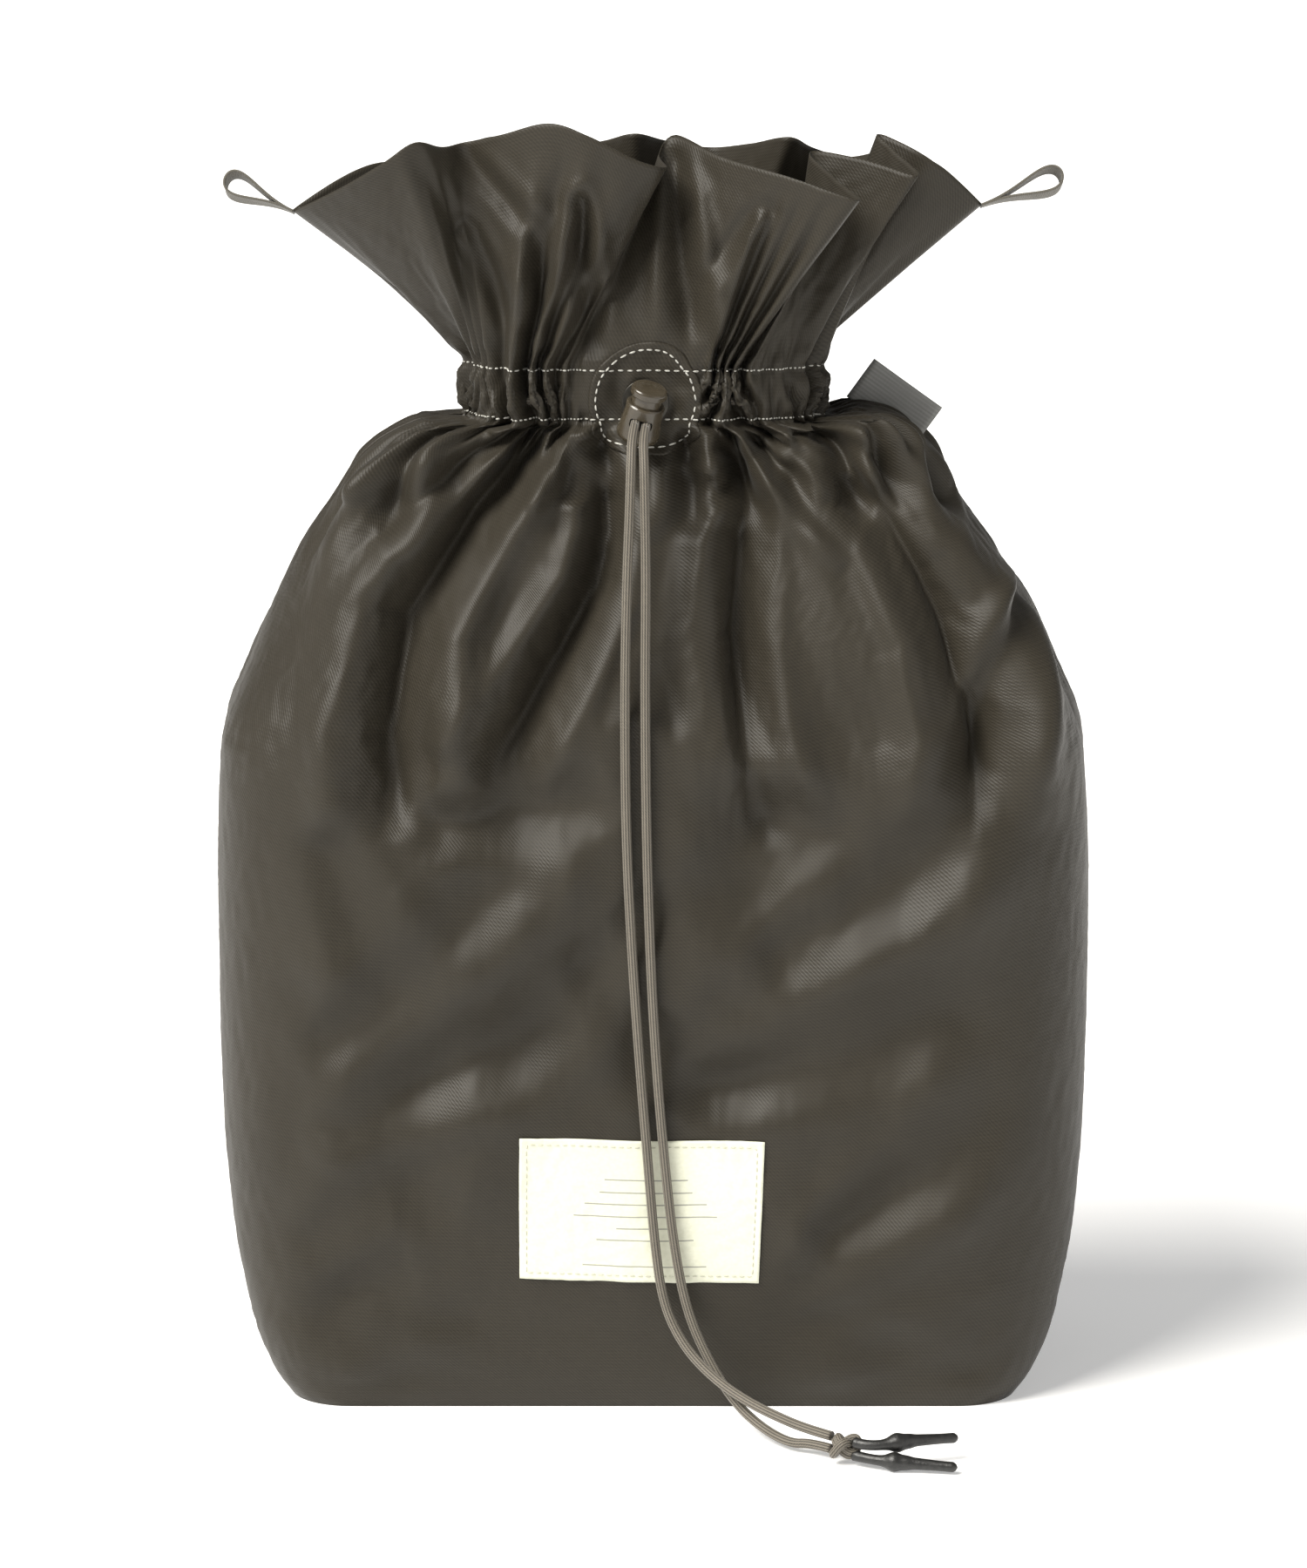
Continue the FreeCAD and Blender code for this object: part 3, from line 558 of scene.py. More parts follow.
# ---- materials ----
class Nodes:
    """A material's node tree, built in a few words."""

    def __init__(self, name):
        self.material = bpy.data.materials.new(name)
        self.material.use_nodes = True
        self.tree = self.material.node_tree
        self.shader = self.tree.nodes["Principled BSDF"]

    def add(self, kind, inputs=(), **settings):
        node = self.tree.nodes.new(kind)
        for key, value in settings.items():
            setattr(node, key, value)
        for key, value in dict(inputs).items():
            self.put(node.inputs[key], value)
        return node

    def put(self, socket, value):
        if isinstance(value, bpy.types.NodeSocket):
            self.tree.links.new(value, socket)
        else:
            socket.default_value = value

    def set(self, **values):
        for key, value in values.items():
            self.put(self.shader.inputs[key.replace("_", " ")], value)

    def math(self, operation, a, b=0.0, c=0.0):
        return self.add("ShaderNodeMath", {0: a, 1: b, 2: c}, operation=operation).outputs[0]

    def blend(self, *shares):
        """The sum of some values, each times its share."""
        total = 0.0
        for value, share in shares:
            total = self.math("MULTIPLY_ADD", value, share, total)
        return total

    def wave(self, value, pitch):
        """A sine that comes back after each pitch."""
        return self.math("SINE", self.math("MULTIPLY", value, 2 * math.pi / pitch))

    def cloth_place(self):
        """The piece's own cloth coordinates, together and each alone."""
        uv = self.add("ShaderNodeUVMap", uv_map="cloth").outputs["UV"]
        split = self.add("ShaderNodeSeparateXYZ", {0: uv})
        return uv, split.outputs["X"], split.outputs["Y"]

    def noise(self, place, scale, detail, **more):
        inputs = {"Vector": place, "Scale": scale, "Detail": detail, **more}
        return self.add("ShaderNodeTexNoise", inputs).outputs["Fac"]

    def solid_noise(self, size, detail=3.0):
        """Noise fixed in the object's own space, with features of about a size in millimetres."""
        return self.noise(self.add("ShaderNodeTexCoord").outputs["Object"], 1000.0 / size, detail)

    def ramp(self, factor, stops):
        node = self.add("ShaderNodeValToRGB", {"Fac": factor})
        for element, (place, colour) in zip(node.color_ramp.elements, stops):
            element.position, element.color = place, (*colour, 1)
        return node.outputs["Color"]

    def shaded(self, factor, colour, *stops):
        """One colour made darker and lighter: each stop is its place and what it multiplies by."""
        return self.ramp(factor, [(place, [c * k for c in colour]) for place, k in stops])

    def bump(self, height, strength, distance, before=None):
        inputs = {"Height": height, "Strength": strength, "Distance": distance * MM}
        if before is not None:
            inputs["Normal"] = before
        return self.add("ShaderNodeBump", inputs).outputs["Normal"]


WEFT_PITCH = 1.25  # thicker threads that show as fine level lines
SLANT = 0.7071  # turns a sum or difference of x and y into a distance across the diagonal
CORD_RIBS = 10


def woven(name, colour, pitch, twill=True, roughness=0.42, sheen=0.15, crease_size=26.0):
    """Woven cloth with threads at a pitch and soft creases of a size, in millimetres."""
    n = Nodes(name)
    uv, x, y = n.cloth_place()
    if twill:
        diagonal = n.wave(n.math("ADD", x, y), pitch / SLANT)
        cross = n.wave(n.math("SUBTRACT", x, y), pitch / (2 * SLANT))
        threads = n.math("MULTIPLY_ADD", cross, 0.35, diagonal)
    else:
        threads = n.math("MULTIPLY", n.wave(x, pitch), n.wave(y, pitch))
    weft = n.math("MULTIPLY", n.wave(y, WEFT_PITCH), n.noise(uv, 0.03, 2.0))
    weave = n.math("MULTIPLY_ADD", n.math("MULTIPLY_ADD", weft, 0.9, threads), 0.35, 0.5)
    broad = n.noise(uv, 0.02, 4.0)
    stretched = n.add("ShaderNodeMapping", {"Vector": uv, "Scale": (0.09, 1.9, 1.0)}).outputs[0]
    mixed = n.blend((weave, 0.45), (broad, 0.35), (n.noise(stretched, 1.0, 3.0), 0.25))
    creases = n.noise(uv, 1 / crease_size, 2.0, Distortion=0.4)
    n.set(Base_Color=n.shaded(mixed, colour, (0.25, 0.72), (0.8, 1.28)))
    n.set(Roughness=n.math("MULTIPLY_ADD", broad, 0.14, roughness - 0.07))
    n.set(Normal=n.bump(weave, 0.5, 0.12, n.bump(creases, 0.25, 1.0)))
    n.set(Sheen_Weight=sheen, Sheen_Roughness=0.35, Specular_IOR_Level=0.26)
    return n.material


def ribbed(name, colour, pitch, roughness=0.7):
    """Tape or webbing with fine ribs across it, in its own coordinates in millimetres."""
    n = Nodes(name)
    uv, x, y = n.cloth_place()
    rib = n.math("ABSOLUTE", n.wave(y, 2 * pitch))
    height = n.math("MULTIPLY_ADD", n.wave(x, 0.5), 0.15, rib)
    mixed = n.blend((height, 0.55), (n.noise(uv, 2.2, 4.0), 0.45))
    n.set(Base_Color=n.shaded(mixed, colour, (0.1, 0.62), (0.85, 1.25)), Roughness=roughness)
    n.set(Normal=n.bump(height, 0.7, 0.2), Sheen_Weight=0.2, Sheen_Roughness=0.4)
    return n.material


def braided(name, colour):
    """A braided elastic sheath: x runs round the cord from 0 to 1, and y along it in millimetres."""
    n = Nodes(name)
    uv, x, y = n.cloth_place()
    rib = n.math("ABSOLUTE", n.wave(x, 2 / CORD_RIBS))
    turns = n.blend((y, 2 * math.pi / 0.9), (x, 2 * math.pi * CORD_RIBS))
    plait = n.math("SINE", turns)
    mixed = n.blend((rib, 0.6), (plait, 0.08), (n.noise(uv, 3.0, 3.0), 0.3))
    # The colour follows the ribs: the grooves are painted dark as shade and the rib tops painted light as
    # highlight, over the cord's own uneven tone.
    n.set(Base_Color=n.shaded(mixed, colour, (0.2, 0.16), (0.8, 1.6)), Roughness=0.62)
    n.set(Normal=n.bump(n.math("MULTIPLY_ADD", plait, 0.18, rib), 0.6, 0.12))
    n.set(Sheen_Weight=0.25, Sheen_Roughness=0.4)
    return n.material


def mottled(name, dark, light, size, detail=3.0, stops=(0.3, 0.7), rough=None, bumps=None, **more):
    """A material whose colour drifts between two shades over a size in millimetres. rough gives the
    size, share and least value of an uneven roughness; bumps the size, strength and height of bumps."""
    n = Nodes(name)
    n.set(Base_Color=n.ramp(n.solid_noise(size, detail), zip(stops, (dark, light))), **more)
    if rough:
        n.set(Roughness=n.math("MULTIPLY_ADD", n.solid_noise(rough[0]), *rough[1:]))
    if bumps:
        n.set(Normal=n.bump(n.solid_noise(bumps[0]), *bumps[1:]))
    return n.material


def label_material():
    """Cream satin with blank ruled lines printed in grey."""
    n = Nodes("label_cloth")
    uv, x, y = n.cloth_place()
    ink = 0.0
    for height, half in LABEL_RULES:
        level_with = n.math("LESS_THAN", n.math("ABSOLUTE", n.math("SUBTRACT", y, height)), RULE_HALF)
        inside = n.math("LESS_THAN", n.math("ABSOLUTE", n.math("SUBTRACT", x, RULE_MIDDLE)), half)
        ink = n.math("MAXIMUM", n.math("MULTIPLY", level_with, inside), ink)
    grain = n.math("MULTIPLY_ADD", n.wave(y, 0.42), 0.08, n.noise(uv, 0.7, 5.0))
    printed = n.add("ShaderNodeMix", data_type="RGBA")
    n.put(printed.inputs["Factor"], n.math("MULTIPLY", ink, 0.62))
    n.put(printed.inputs["A"], n.ramp(grain, [(0.2, (0.74, 0.75, 0.60)), (0.8, (0.86, 0.87, 0.72))]))
    n.put(printed.inputs["B"], (0.10, 0.10, 0.095, 1))
    n.set(Base_Color=printed.outputs["Result"], Roughness=0.55)
    n.set(Normal=n.bump(grain, 0.35, 0.06), Sheen_Weight=0.1)
    return n.material


NYLON_COLOUR = (0.0315, 0.0270, 0.0195)
nylon = woven("nylon_cloth", NYLON_COLOUR, 0.9, roughness=0.48, sheen=0.04)
strip_cloth = woven("casing_cloth", NYLON_COLOUR, 0.9, roughness=0.5)
tab_cloth = woven("woven_tab", (0.25, 0.25, 0.242), 0.5, twill=False, roughness=0.6, crease_size=12.0)
tape = ribbed("binding_tape", (0.060, 0.055, 0.044), 0.7)
webbing = ribbed("webbing", (0.095, 0.087, 0.070), 0.6, roughness=0.6)
cord_cloth = braided("elastic_cord", (0.128, 0.113, 0.090))
thread = mottled("stitch_thread", (0.36, 0.355, 0.32), (0.66, 0.65, 0.60), 0.9,
                 bumps=(0.3, 0.4, 0.08), Roughness=0.55, Sheen_Weight=0.2)
label_thread = mottled("label_thread", (0.50, 0.50, 0.40), (0.66, 0.66, 0.54), 0.9,
                       Roughness=0.6, Sheen_Weight=0.2)
label_cloth = label_material()
rubber = mottled("tip_rubber", (0.008, 0.008, 0.008), (0.022, 0.022, 0.021), 1.4, stops=(0.3, 0.75),
                 rough=(0.9, 0.25, 0.30), bumps=(0.7, 0.5, 0.25), Specular_IOR_Level=0.6)
spring_steel = mottled("spring_steel", (0.42, 0.42, 0.41), (0.60, 0.60, 0.58), 1.0,
                       Metallic=1.0, Roughness=0.3)
eyelet_metal = mottled("eyelet_metal", (0.030, 0.028, 0.024), (0.060, 0.056, 0.048), 2.5,
                       stops=(0.35, 0.7), rough=(1.0, 0.2, 0.28), Metallic=0.7)
# Smoky olive-brown plastic that lets a little light in.
lock_plastic = mottled("lock_plastic", (0.070, 0.056, 0.036), (0.098, 0.080, 0.054), 6.0, 2.0,
                       rough=(1.2, 0.10, 0.20), bumps=(4.0, 0.05, 0.2), IOR=1.49,
                       Transmission_Weight=0.35, Coat_Weight=0.25, Coat_Roughness=0.12)


# ---- the bag ----
rows, folded = folded_cloth()
cloth = Cloth(rows, dress(settle(rows, folded)))


def sewn(name, s, t, lift, material, node, slot, thick=THICK, uv=None, closed=False):
    """A sheet that follows the cloth. s and t are grids of cloth coordinates."""
    coords = np.stack([s, t] if uv is None else uv, -1).reshape(-1, 2)
    faces = grid_faces(*s.shape, closed)
    piece = make_piece(name, cloth.at(s, t, lift), faces, material, node, coords)
    thicken(piece, thick, -1)
    return piece


def panels():
    calm = np.arange(0, CALM_BELOW, CELL)
    lively = np.linspace(CALM_BELOW, TOP, round((TOP - CALM_BELOW) / FINE_ROW) + 1)
    for node, start in (("front_panel", 0.0), ("back_panel", ROUND / 2)):
        across = start + np.linspace(0, ROUND / 2, FINE_COLUMNS + 1)
        s, t = np.meshgrid(across, np.concatenate([calm, lively]))
        piece = sewn(node + "_cloth", s, t, 0.0, nylon, node, "nylon_cloth")


def base_panel():
    """The base: a panel of rings that meets the cloth's lowest row and rises a little inside."""
    count, low = 160, 0.35
    edge = cloth.at(np.linspace(0, ROUND, count + 1)[:-1], 0.0)
    shares = np.linspace(1, 0, 14)[:-1] ** 0.8
    points = []
    for share in shares:
        x, y = edge[:, 0] * share, edge[:, 1] * share
        lift = low * (1 - share) * (1 + soft_noise(x, y, 40, 81))
        points.append(np.stack([x, y, low + lift], 1))
    points = np.vstack(points + [[[0, 0, 0.8]]])
    faces = [tuple(reversed(f)) for f in grid_faces(len(shares), count, True)]
    last = (len(shares) - 1) * count
    faces += [(last + (i + 1) % count, last + i, len(points) - 1) for i in range(count)]
    piece = make_piece("base_panel_cloth", points, faces, nylon, "base_panel", points[:, :2])
    thicken(piece, THICK)


def casing_strips():
    """The strips inside the neck that close the tunnel. They bow inward round the cord."""
    for side, start in (("front", 0.0), ("back", ROUND / 2)):
        across = start + np.linspace(0, ROUND / 2, 221)
        s, t = np.meshgrid(across, BODY + np.linspace(0.5, CASING - 0.5, 15))
        lift = -0.5 - 1.2 * np.sin(np.pi * (t - BODY) / CASING) ** 0.6
        piece = sewn(f"casing_{side}_strip", s, t, lift, strip_cloth, f"casing_{side}", "nylon_cloth")


def bindings():
    for node, seam in (("seam_binding_left", 0.0), ("seam_binding_right", ROUND / 2)):
        across = np.linspace(-BINDING_HALF, BINDING_HALF, 7)
        s, t = np.meshgrid(seam + across, np.linspace(8, TOP - 1, 200))
        sewn(node + "_tape", s, t, -0.55, tape, node, "binding_tape", thick=0.4, uv=(s - seam, t))


STITCH_LONG, STITCH_LIFT, STITCH_MIN = 1.9, 0.12, 0.3
STITCH_SIDES, STITCH_RINGS = 8, 7
THREAD_WIDE, THREAD_FINE = 0.55, 0.42
ROW_INSET, RING_INSET, LABEL_INSET = 1.6, 2.4, 2.3  # from each edge to its line of stitches


def stitches(name, place, total, pitch, wide, arch, node, lift=STITCH_LIFT, material=thread):
    """Separate stitches along a line on the cloth, arched by a share of the thread's width.
    place(d) gives the cloth coordinates at a distance, and lift is a number or a function of them.
    A stitch that a fold shortens too much is left out."""
    points, faces = [], []
    around = 2 * np.pi * np.arange(STITCH_SIDES) / STITCH_SIDES
    for d in np.arange(pitch / 2, total, pitch):
        over = lift(*place(d)) if callable(lift) else lift
        start, end = (cloth.at(*place(d + k * STITCH_LONG / 2), over) for k in (-1, 1))
        long = np.linalg.norm(end - start)
        if long < STITCH_MIN:
            continue
        way = (end - start) / long
        across = unit(np.cross(way, cloth.normal(*place(d))))
        up = np.cross(across, way)
        first = len(points)
        for v in np.linspace(-1, 1, STITCH_RINGS):
            swell = math.sqrt(1 - abs(v) ** 3.2) * wide / 2 + 0.02
            middle = (start + end) / 2 + way * v * long / 2 + up * arch * (0.35 - v * v) * wide
            points += [middle + (across * math.cos(a) + up * math.sin(a) * 0.8) * swell for a in around]
        faces += [tuple(first + v for v in f) for f in grid_faces(STITCH_RINGS, STITCH_SIDES, True)]
        faces += [tuple(first + i for i in reversed(range(STITCH_SIDES))),
                  tuple(first + (STITCH_RINGS - 1) * STITCH_SIDES + i for i in range(STITCH_SIDES))]
    make_piece(name, points, faces, material, node)


def casing_stitches():
    """The two rows that hold the tunnel. They run over the patch."""
    def lift(s, t):
        return STITCH_LIFT + PATCH_LIFT * (math.hypot(s - PATCH_S, t - PATCH_T) < PATCH_R + 0.5)

    low, high = BODY + ROW_INSET, BODY + CASING - ROW_INSET
    for node, t in (("casing_stitch_lower", low), ("casing_stitch_upper", high)):
        stitches(node + "_row", lambda d, t=t: (d, t), ROUND, 3.0, THREAD_WIDE, 0.3, node, lift)


def patch():
    """The patch round the eyelet, and its ring of stitches."""
    radius, turn = np.meshgrid(np.linspace(PATCH_HOLE, PATCH_R, 22), np.linspace(0, -2 * np.pi, 97)[:-1],
                               indexing="ij")
    s, t = PATCH_S + radius * np.cos(turn), PATCH_T + radius * np.sin(turn)
    lift = PATCH_LIFT * (1 - smoothstep(PATCH_R - 0.9, PATCH_R, radius) * 0.6)
    sewn("eyelet_patch_cloth", s, t, lift, nylon, "eyelet_patch", "nylon_cloth", thick=0.5, closed=True)
    sewn_r = PATCH_R - RING_INSET

    def place(d):
        return PATCH_S + sewn_r * math.cos(d / sewn_r), PATCH_T + sewn_r * math.sin(d / sewn_r)

    stitches("patch_stitch_ring", place, 2 * np.pi * sewn_r, 2.7, THREAD_WIDE, 0.3, "patch_stitch",
             STITCH_LIFT + PATCH_LIFT)


def label_place(u, v):
    """Cloth coordinates of a place on the label, from its lower left corner."""
    u, v = u - LABEL_W / 2, v - LABEL_H / 2
    c, s = math.cos(LABEL_TURN), math.sin(LABEL_TURN)
    return LABEL_S + u * c - v * s, LABEL_T + u * s + v * c


def label():
    """The label, which stands up a little at its edges, and the line of stitches inside them."""
    u, v = np.meshgrid(np.linspace(0, LABEL_W, 79), np.linspace(0, LABEL_H, 51))
    edge = np.minimum(np.minimum(u, LABEL_W - u), np.minimum(v, LABEL_H - v))
    lift = 0.45 + 0.35 * (1 - smoothstep(0, 2.0, edge)) * (0.5 + 0.5 * soft_noise(u, v, 17, 91))
    piece = sewn("label_patch_cloth", *label_place(u, v), lift, label_cloth, "label_patch", "label_cloth",
                 thick=0.3, uv=(u, v))
    low, right, high = LABEL_INSET, LABEL_W - LABEL_INSET, LABEL_H - LABEL_INSET
    corners = np.array([(low, low), (right, low), (right, high), (low, high), (low, low)])
    run = run_along(corners)

    def place(d):
        return label_place(*(np.interp(d % run[-1], run, corners[:, k]) for k in (0, 1)))

    stitches("label_stitch_line", place, run[-1], 2.6, THREAD_FINE, 0.2, "label_stitch", 0.52, label_thread)


panels()
base_panel()
casing_strips()
bindings()
casing_stitches()
patch()
label()


# ---- the hanging loops and the side tab ----
WEBBING_HALF, WEBBING_COLUMNS = 3.6, 13
TAB_T = BODY - 8.0


def hang_loop(node, side, seam, reach, rise):
    """A webbing loop that leaves the seam's tip flat, opens into a teardrop and comes back."""
    tip = cloth.at(seam, TOP - 1.0)
    tilt = math.atan2(rise, reach)
    centres, turns = [], []
    for a in 2 * math.pi * (np.linspace(0, 1, 61) - 0.5):
        # The teardrop in its own plane: along from the tip, and apart across the opening.
        along = reach * (0.5 + 0.5 * math.cos(a)) ** 0.62
        apart = 5.6 * math.sin(a) * (0.5 + 0.5 * math.cos(a)) ** 0.95
        x = along * math.cos(tilt) - apart * math.sin(tilt)
        z = along * math.sin(tilt) + apart * math.cos(tilt)
        centres.append(tip + np.array([side * x * math.cos(tilt * 0.3), 0.0, z]))
        lean = 0.20 + 0.25 * along / reach
        turns.append((side * 0.10 * lean, -math.cos(lean), math.sin(lean)))
    turns = unit(np.array(turns))
    up = unit(np.cross(unit(np.gradient(centres, axis=0)), turns))
    run = run_along(centres)
    points, uv = [], []
    for k, centre in enumerate(centres):
        for across in np.linspace(-1, 1, WEBBING_COLUMNS):
            points.append(centre + turns[k] * across * WEBBING_HALF + up[k] * 0.12 * (1 - across ** 2))
            uv.append((across * WEBBING_HALF, run[k]))
    faces = grid_faces(len(centres), WEBBING_COLUMNS)
    piece = make_piece(node + "_webbing", points, faces, webbing, node, uv)
    thicken(piece, 0.8)
    bevel = piece.modifiers.new("edge", "BEVEL")
    bevel.width, bevel.segments, bevel.limit_method = 0.22 * MM, 2, "ANGLE"
    bevel.angle_limit = math.radians(50)


def side_tab():
    """A folded woven tab, sewn into the seam under the neck."""
    root = np.array([64.0, cloth.at(ROUND / 2, TAB_T)[1], 324.0])
    along = unit(np.array([23.0, 0.0, -16.5]))
    out = np.array([-along[2], 0.0, along[0]])
    long, deep, rows_count, columns = 27.5, 15.5, 40, 15
    points, uv = [], []
    for u in np.linspace(-1, 1, rows_count):
        # One leaf runs out to the fold, and the other leaf back.
        away = (1 - abs(u)) * deep - 1.5
        apart = 0.55 * math.copysign(min(1.0, (abs(u) * 6) ** 0.5), u)
        for v in np.linspace(0, 1, columns):
            curl = 0.9 * math.sin(math.pi * v) * (away / deep) ** 2 + 0.3 * away / deep
            points.append(root + along * v * long + out * away + [0, apart - curl, 0])
            uv.append((v * long, u * deep))
    faces = grid_faces(rows_count, columns)
    thicken(make_piece("side_tab_cloth", points, faces, tab_cloth, "side_tab", uv), 0.45)


hang_loop("hang_loop_left", -1, 0.0, 24.0, 11.0)
hang_loop("hang_loop_right", 1, ROUND / 2, 27.5, 10.0)
side_tab()


# ---- the drawcord ----
CORD_D, CORD_LENGTH, CORD_CELL = 3.0, 0.366, 0.9
LOCK_AT = Vector((-3.6, -37.5, 321.4))
LOCK_OUT = Vector((-0.08511, -0.94332, -0.32075)).normalized()
LOCK_X = Vector((0.96656, 0.0, -0.25646)).normalized()
LOCK_Z = LOCK_X.cross(-LOCK_OUT).normalized()
EXIT_REACH, CORD_PITCH, FIRST_RUN = 7.6, 3.5, 5.0
SPRING_R, SPRING_WIRE, SPRING_TURNS = 3.4, 0.3, 4
SPRING_LOW, SPRING_HIGH = -6.28, 3.41  # its first turn's place along the lock, and its height
KNOT_AT = Vector((60.0, -113.0, 5.6))
KNOT_AIM = Vector((0.78, -0.62, -0.03)).normalized()
KNOT_ACROSS = Vector((0, 0, 1)).cross(KNOT_AIM).normalized()
KNOT_OVER = KNOT_AIM.cross(KNOT_ACROSS)
KNOT_LONG, TAIL_GAP = 10.0, 2.1
# Which side of the knot each sleeve leaves, where it ends, and how its middle is bent up.
TIPS = {"left": (-1, (96.0, -109.5, 7.2), 0.8), "right": (1, (95.0, -124.0, 2.3), 0.2)}
TIP_REST = 2.2  # a sleeve's middle line at its start, off the floor


def smooth_line(route):
    """Points along the NURBS spline whose control points are the route, in millimetres."""
    curve = bpy.data.curves.new("route", "CURVE")
    curve.dimensions = "3D"
    curve.resolution_u = 12
    spline = curve.splines.new("NURBS")
    spline.points.add(len(route) - 1)
    for point, place in zip(spline.points, route):
        point.co = (*(Vector(place) * MM), 1)
    spline.order_u = 3
    spline.use_endpoint_u = True
    ob = bpy.data.objects.new("route", curve)
    line = bpy.data.meshes.new_from_object(ob)
    found = np.zeros(len(line.vertices) * 3)
    line.vertices.foreach_get("co", found)
    bpy.data.objects.remove(ob)
    bpy.data.curves.remove(curve)
    return found.reshape(-1, 3) / MM


def even(line, pitch):
    """The same line with its points a pitch apart."""
    run = run_along(line)
    at = np.linspace(0, run[-1], max(3, round(run[-1] / pitch) + 1))
    return np.stack([np.interp(at, run, line[:, k]) for k in range(3)], 1)


def tube(line, radius, ribs=0, sides=40):
    """Points, faces and cord coordinates of a closed tube along a line. radius is a number, or a
    function of the share of its length."""
    way, run = unit(np.gradient(line, axis=0)), run_along(line)
    side = np.cross(way[0], (0.3, 0.2, 1.0))
    points, uv = [], []
    for place, forward, along in zip(line, way, run):
        side = unit(side - forward * side.dot(forward))
        up = np.cross(forward, side)
        r = radius(along / run[-1]) if callable(radius) else radius
        for i in range(sides):
            a = 2 * math.pi * i / sides
            rib = 1 + (0.075 * (abs(math.sin(ribs * a / 2)) - 0.6) if ribs else 0)
            points.append(place + (side * math.cos(a) + up * math.sin(a)) * r * rib)
            uv.append((i / sides, along))
    first_end, last_end, last = len(points), len(points) + 1, (len(line) - 1) * sides
    points += [line[0], line[-1]]
    uv += [(0, 0), (0, run[-1])]
    faces = grid_faces(len(line), sides, True)
    faces += [((i + 1) % sides, i, first_end) for i in range(sides)]
    faces += [(last + i, last + (i + 1) % sides, last_end) for i in range(sides)]
    return points, faces, uv


def tubes(name, parts, material, node, body=BAG):
    """One piece made of several tubes."""
    points, faces, uv = [], [], []
    for part_points, part_faces, part_uv in parts:
        faces += [tuple(len(points) + i for i in face) for face in part_faces]
        points += part_points
        uv += part_uv
    return make_piece(name, points, faces, material, node, uv, body)


def cord_tube(line):
    return tube(even(line, CORD_CELL), CORD_D / 2, CORD_RIBS)


def ring():
    """The cord inside the casing, and its two ends that run out through the eyelet and the lock."""
    a, b, r = NECK
    line, _, _ = outline(a - 6.0, b - 4.0, r - 4.0, np.linspace(0, 1, 241)[:-1])
    line = np.column_stack([line[:, 0] + NECK_SHIFT, line[:, 1], np.full(len(line), EYELET_AT[2])])
    parts = [tube(np.vstack([line, line[:1]]), CORD_D / 2 - 0.1, CORD_RIBS, 30)]
    for side in (-1, 1):
        apart = LOCK_X * (side * CORD_PITCH / 2)
        inside = Vector((EYELET_AT[0], line[:, 1].min(), EYELET_AT[2]))
        through = [LOCK_AT + apart + LOCK_OUT * reach for reach in (-10, -6, -2, 3, EXIT_REACH)]
        parts.append(cord_tube(smooth_line([inside + apart] + through)))
    tubes("drawcord_ring_cord", parts, cord_cloth, "drawcord_ring")


def knot_face(side, far=False):
    """Where a tail enters the knot, or where its sleeve leaves it."""
    middle = KNOT_AT + KNOT_AIM * (KNOT_LONG / 2 * (1 if far else -1))
    return middle - KNOT_OVER * (TAIL_GAP * side)


def tails():
    """Each tail's piece, its start at the lock and the line that it follows."""
    made = []
    for name, side, way_down in (("left", -1, LEFT_ROUTE), ("right", 1, RIGHT_ROUTE)):
        start = LOCK_AT + LOCK_OUT * EXIT_REACH + LOCK_X * (side * CORD_PITCH / 2)
        end = knot_face(side)
        line = smooth_line([start, start + LOCK_OUT * FIRST_RUN, *way_down, end - KNOT_AIM * 8.0, end])
        node = f"drawcord_tail_{name}"
        piece = tubes(node + "_cord", [cord_tube(line)], cord_cloth, node)
        made.append((piece, start, line))
    return made


def knot():
    """An overhand knot that both cords make together."""
    axes = np.array([KNOT_AIM, KNOT_ACROSS, KNOT_OVER])
    t = np.linspace(0, 2 * np.pi, 97)
    strands = []
    for side in (-1, 1):
        x = (np.sin(t) + 2 * np.sin(2 * t)) * 1.25 + side * 0.5
        y = (np.cos(t) - 2 * np.cos(2 * t)) * 1.45
        z = -np.sin(3 * t) * 1.7 + side * 0.7
        strands.append(tube(np.stack([x, y, z], 1) @ axes + np.array(KNOT_AT), 1.32, CORD_RIBS, 30))
    return tubes("cord_knot_tied", strands, cord_cloth, "cord_knot")


def sleeves():
    """The black sleeves on the cords' ends: a neck, a swollen joint and a slim tail."""
    def radius(u):
        neck = 1.75 - 0.15 * math.sin(u * 9)
        swell = 1.25 * math.exp(-((u - 0.40) / 0.075) ** 2) + 0.35 * math.exp(-((u - 0.52) / 0.05) ** 2)
        round_off = min(1.0, math.sqrt((1.0 - u) / 0.045))
        return (neck + swell) * round_off + 0.02

    made = []
    for name, (side, end, raised) in TIPS.items():
        start, end = knot_face(side, far=True) - KNOT_AIM, Vector(end)
        start.z = max(start.z, TIP_REST)
        bend = (start + end) / 2 + Vector((0, -2.5 + side * 0.6, raised))
        route = [start, start + KNOT_AIM * 6, bend, end - (end - bend).normalized() * 8, end]
        part = tube(even(smooth_line(route), CORD_CELL / 2), radius, sides=28)
        made.append(tubes(f"cord_tip_{name}_sleeve", [part], rubber, f"cord_tip_{name}"))
    return made


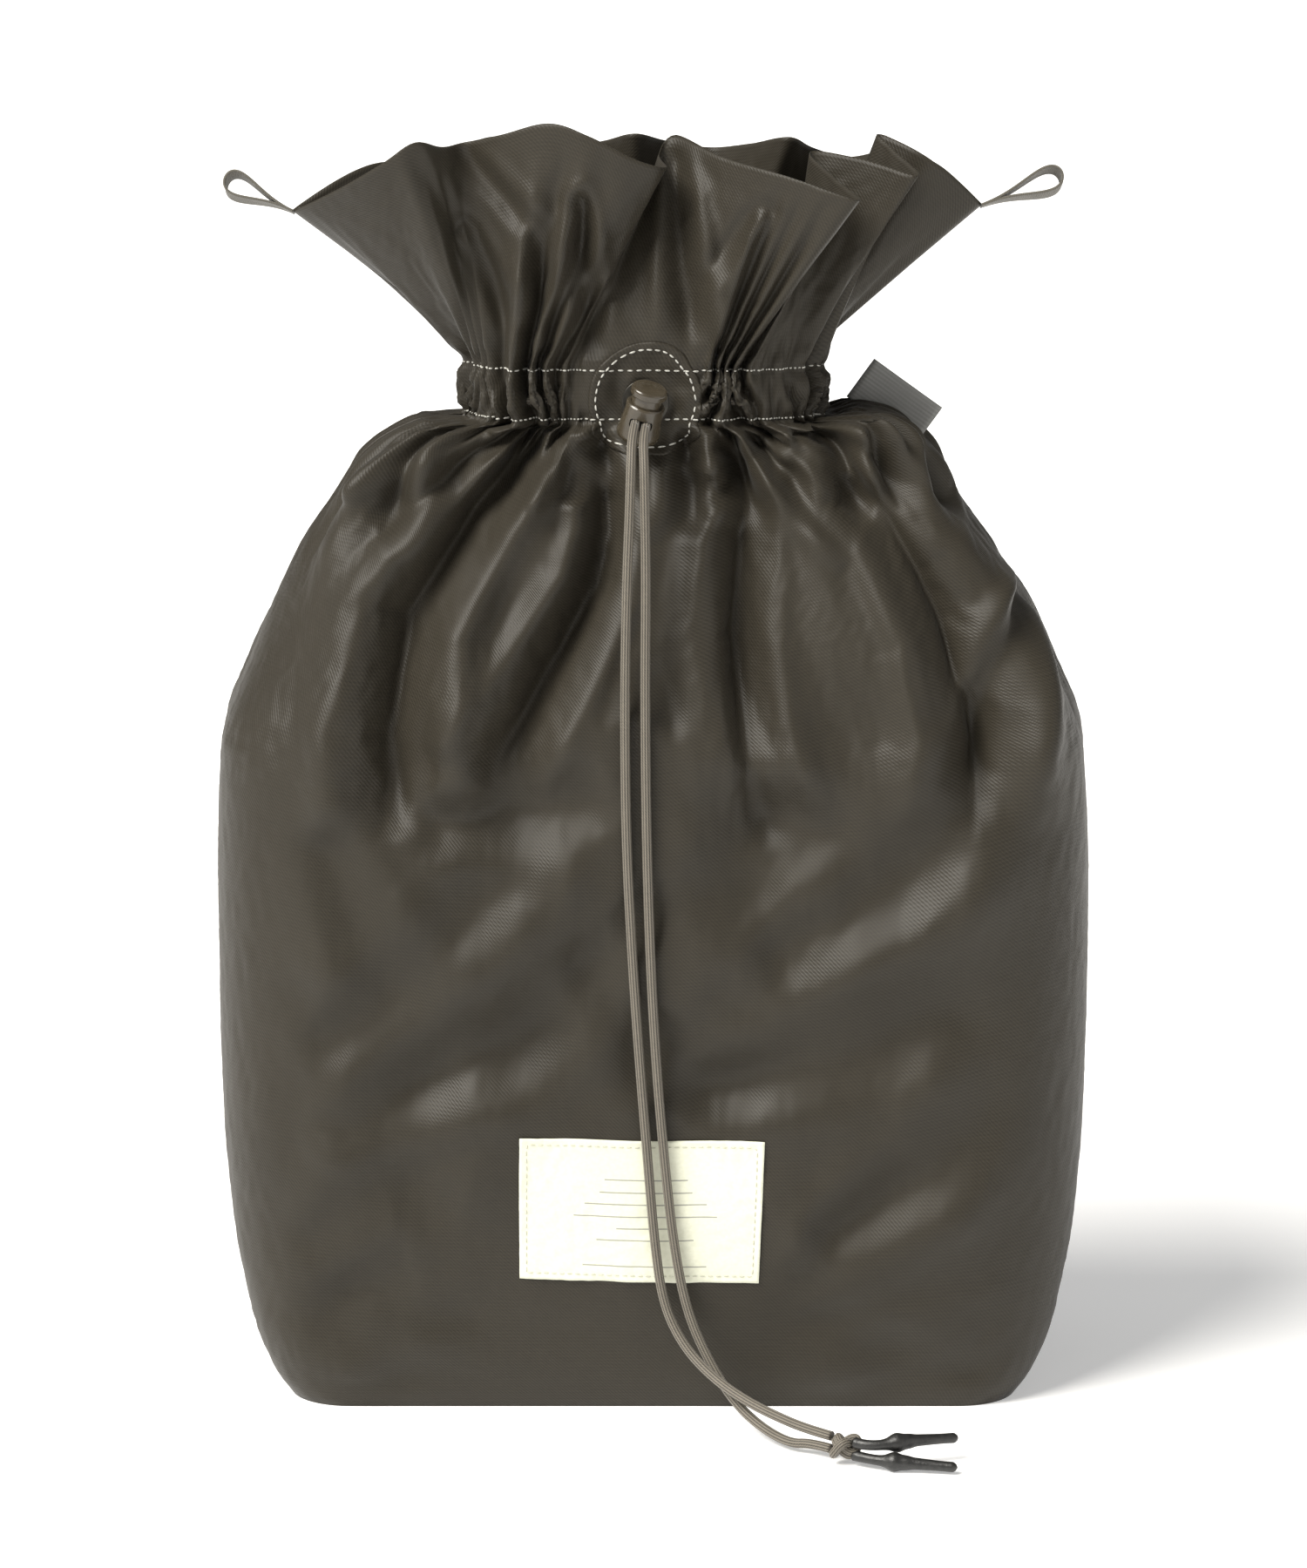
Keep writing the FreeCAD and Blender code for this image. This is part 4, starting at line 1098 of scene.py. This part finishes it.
def spring():
    """The spring in the lock, a coil of wire that rides on the lock's body."""
    u = np.linspace(0, 1, 40 * SPRING_TURNS + 1)
    turn, high = 2 * np.pi * SPRING_TURNS * u, SPRING_LOW + SPRING_HIGH * u
    axes = np.array([LOCK_X, -LOCK_OUT, LOCK_Z])
    line = np.stack([SPRING_R * np.cos(turn), SPRING_R * np.sin(turn), high], 1) @ axes + np.array(LOCK_AT)
    wire = tube(line, SPRING_WIRE, sides=12)
    piece = tubes("lock_spring_wire", [wire], spring_steel, "lock_spring", "lock_body")
    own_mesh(piece)


ring()
tail_pieces = tails()
knot_piece = knot()
sleeve_pieces = sleeves()
spring()


# ---- CAD parts that stay ----
def repaint(material, *nodes):
    for name in nodes:
        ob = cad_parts[name]
        ob.data.materials.clear()
        ob.data.materials.append(material)


repaint(lock_plastic, "lock_barrel", "lock_plunger")
repaint(eyelet_metal, "eyelet_barrel", "eyelet_washer")


# ---- stage, lights and camera ----
# Each sun's direction, strength, and angle in degrees.
SUNS = {"key": ((0.72, 0.50, -1.0), 5.15, 34), "fill": ((-0.9, 0.55, -0.4), 0.4, 45)}
SUN_COLOUR, SKY_STRENGTH = (1.0, 0.97, 0.91), 0.20
VIEW_ANGLE, VIEW_TILT, VIEW_REACH, VIEW_AIM = 18.36, 11, 1.6, Vector((0, 0, 0.1957))


def stage():
    me = bpy.data.meshes.new("floor")
    me.from_pydata([(-30, -30, 0), (30, -30, 0), (30, 40, 0), (-30, 40, 0)], [], [(0, 1, 2, 3)])
    n = Nodes("floor")
    n.set(Base_Color=(0.90, 0.90, 0.90, 1), Roughness=0.8, Specular_IOR_Level=0.1)
    n.set(Emission_Color=(1, 1, 1, 1), Emission_Strength=0.34)
    me.materials.append(n.material)
    floor = bpy.data.objects.new("floor", me)
    bpy.context.scene.collection.objects.link(floor)


def lights():
    world = bpy.data.worlds.new("studio")
    bpy.context.scene.world = world
    world.use_nodes = True
    background = world.node_tree.nodes["Background"]
    background.inputs["Color"].default_value = (1.0, 1.0, 1.0, 1)
    background.inputs["Strength"].default_value = SKY_STRENGTH
    for name, (way, strength, angle) in SUNS.items():
        light = bpy.data.lights.new(name, "SUN")
        light.energy, light.angle, light.color = strength, math.radians(angle), SUN_COLOUR
        lamp = bpy.data.objects.new(name, light)
        lamp.rotation_euler = Vector(way).to_track_quat("-Z", "Y").to_euler()
        bpy.context.scene.collection.objects.link(lamp)


def camera():
    data = bpy.data.cameras.new("camera")
    data.sensor_fit = "VERTICAL"
    data.angle = math.radians(VIEW_ANGLE)
    ob = bpy.data.objects.new("camera", data)
    tilt = math.radians(VIEW_TILT)
    back = Vector((0, -math.cos(tilt), math.sin(tilt)))
    ob.location = VIEW_AIM + back * VIEW_REACH
    ob.rotation_euler = (-back).to_track_quat("-Z", "Y").to_euler()
    bpy.context.scene.collection.objects.link(ob)
    bpy.context.scene.camera = ob


stage()
lights()
camera()
bpy.context.scene.view_settings.view_transform = "Standard"

bpy.context.view_layer.update()
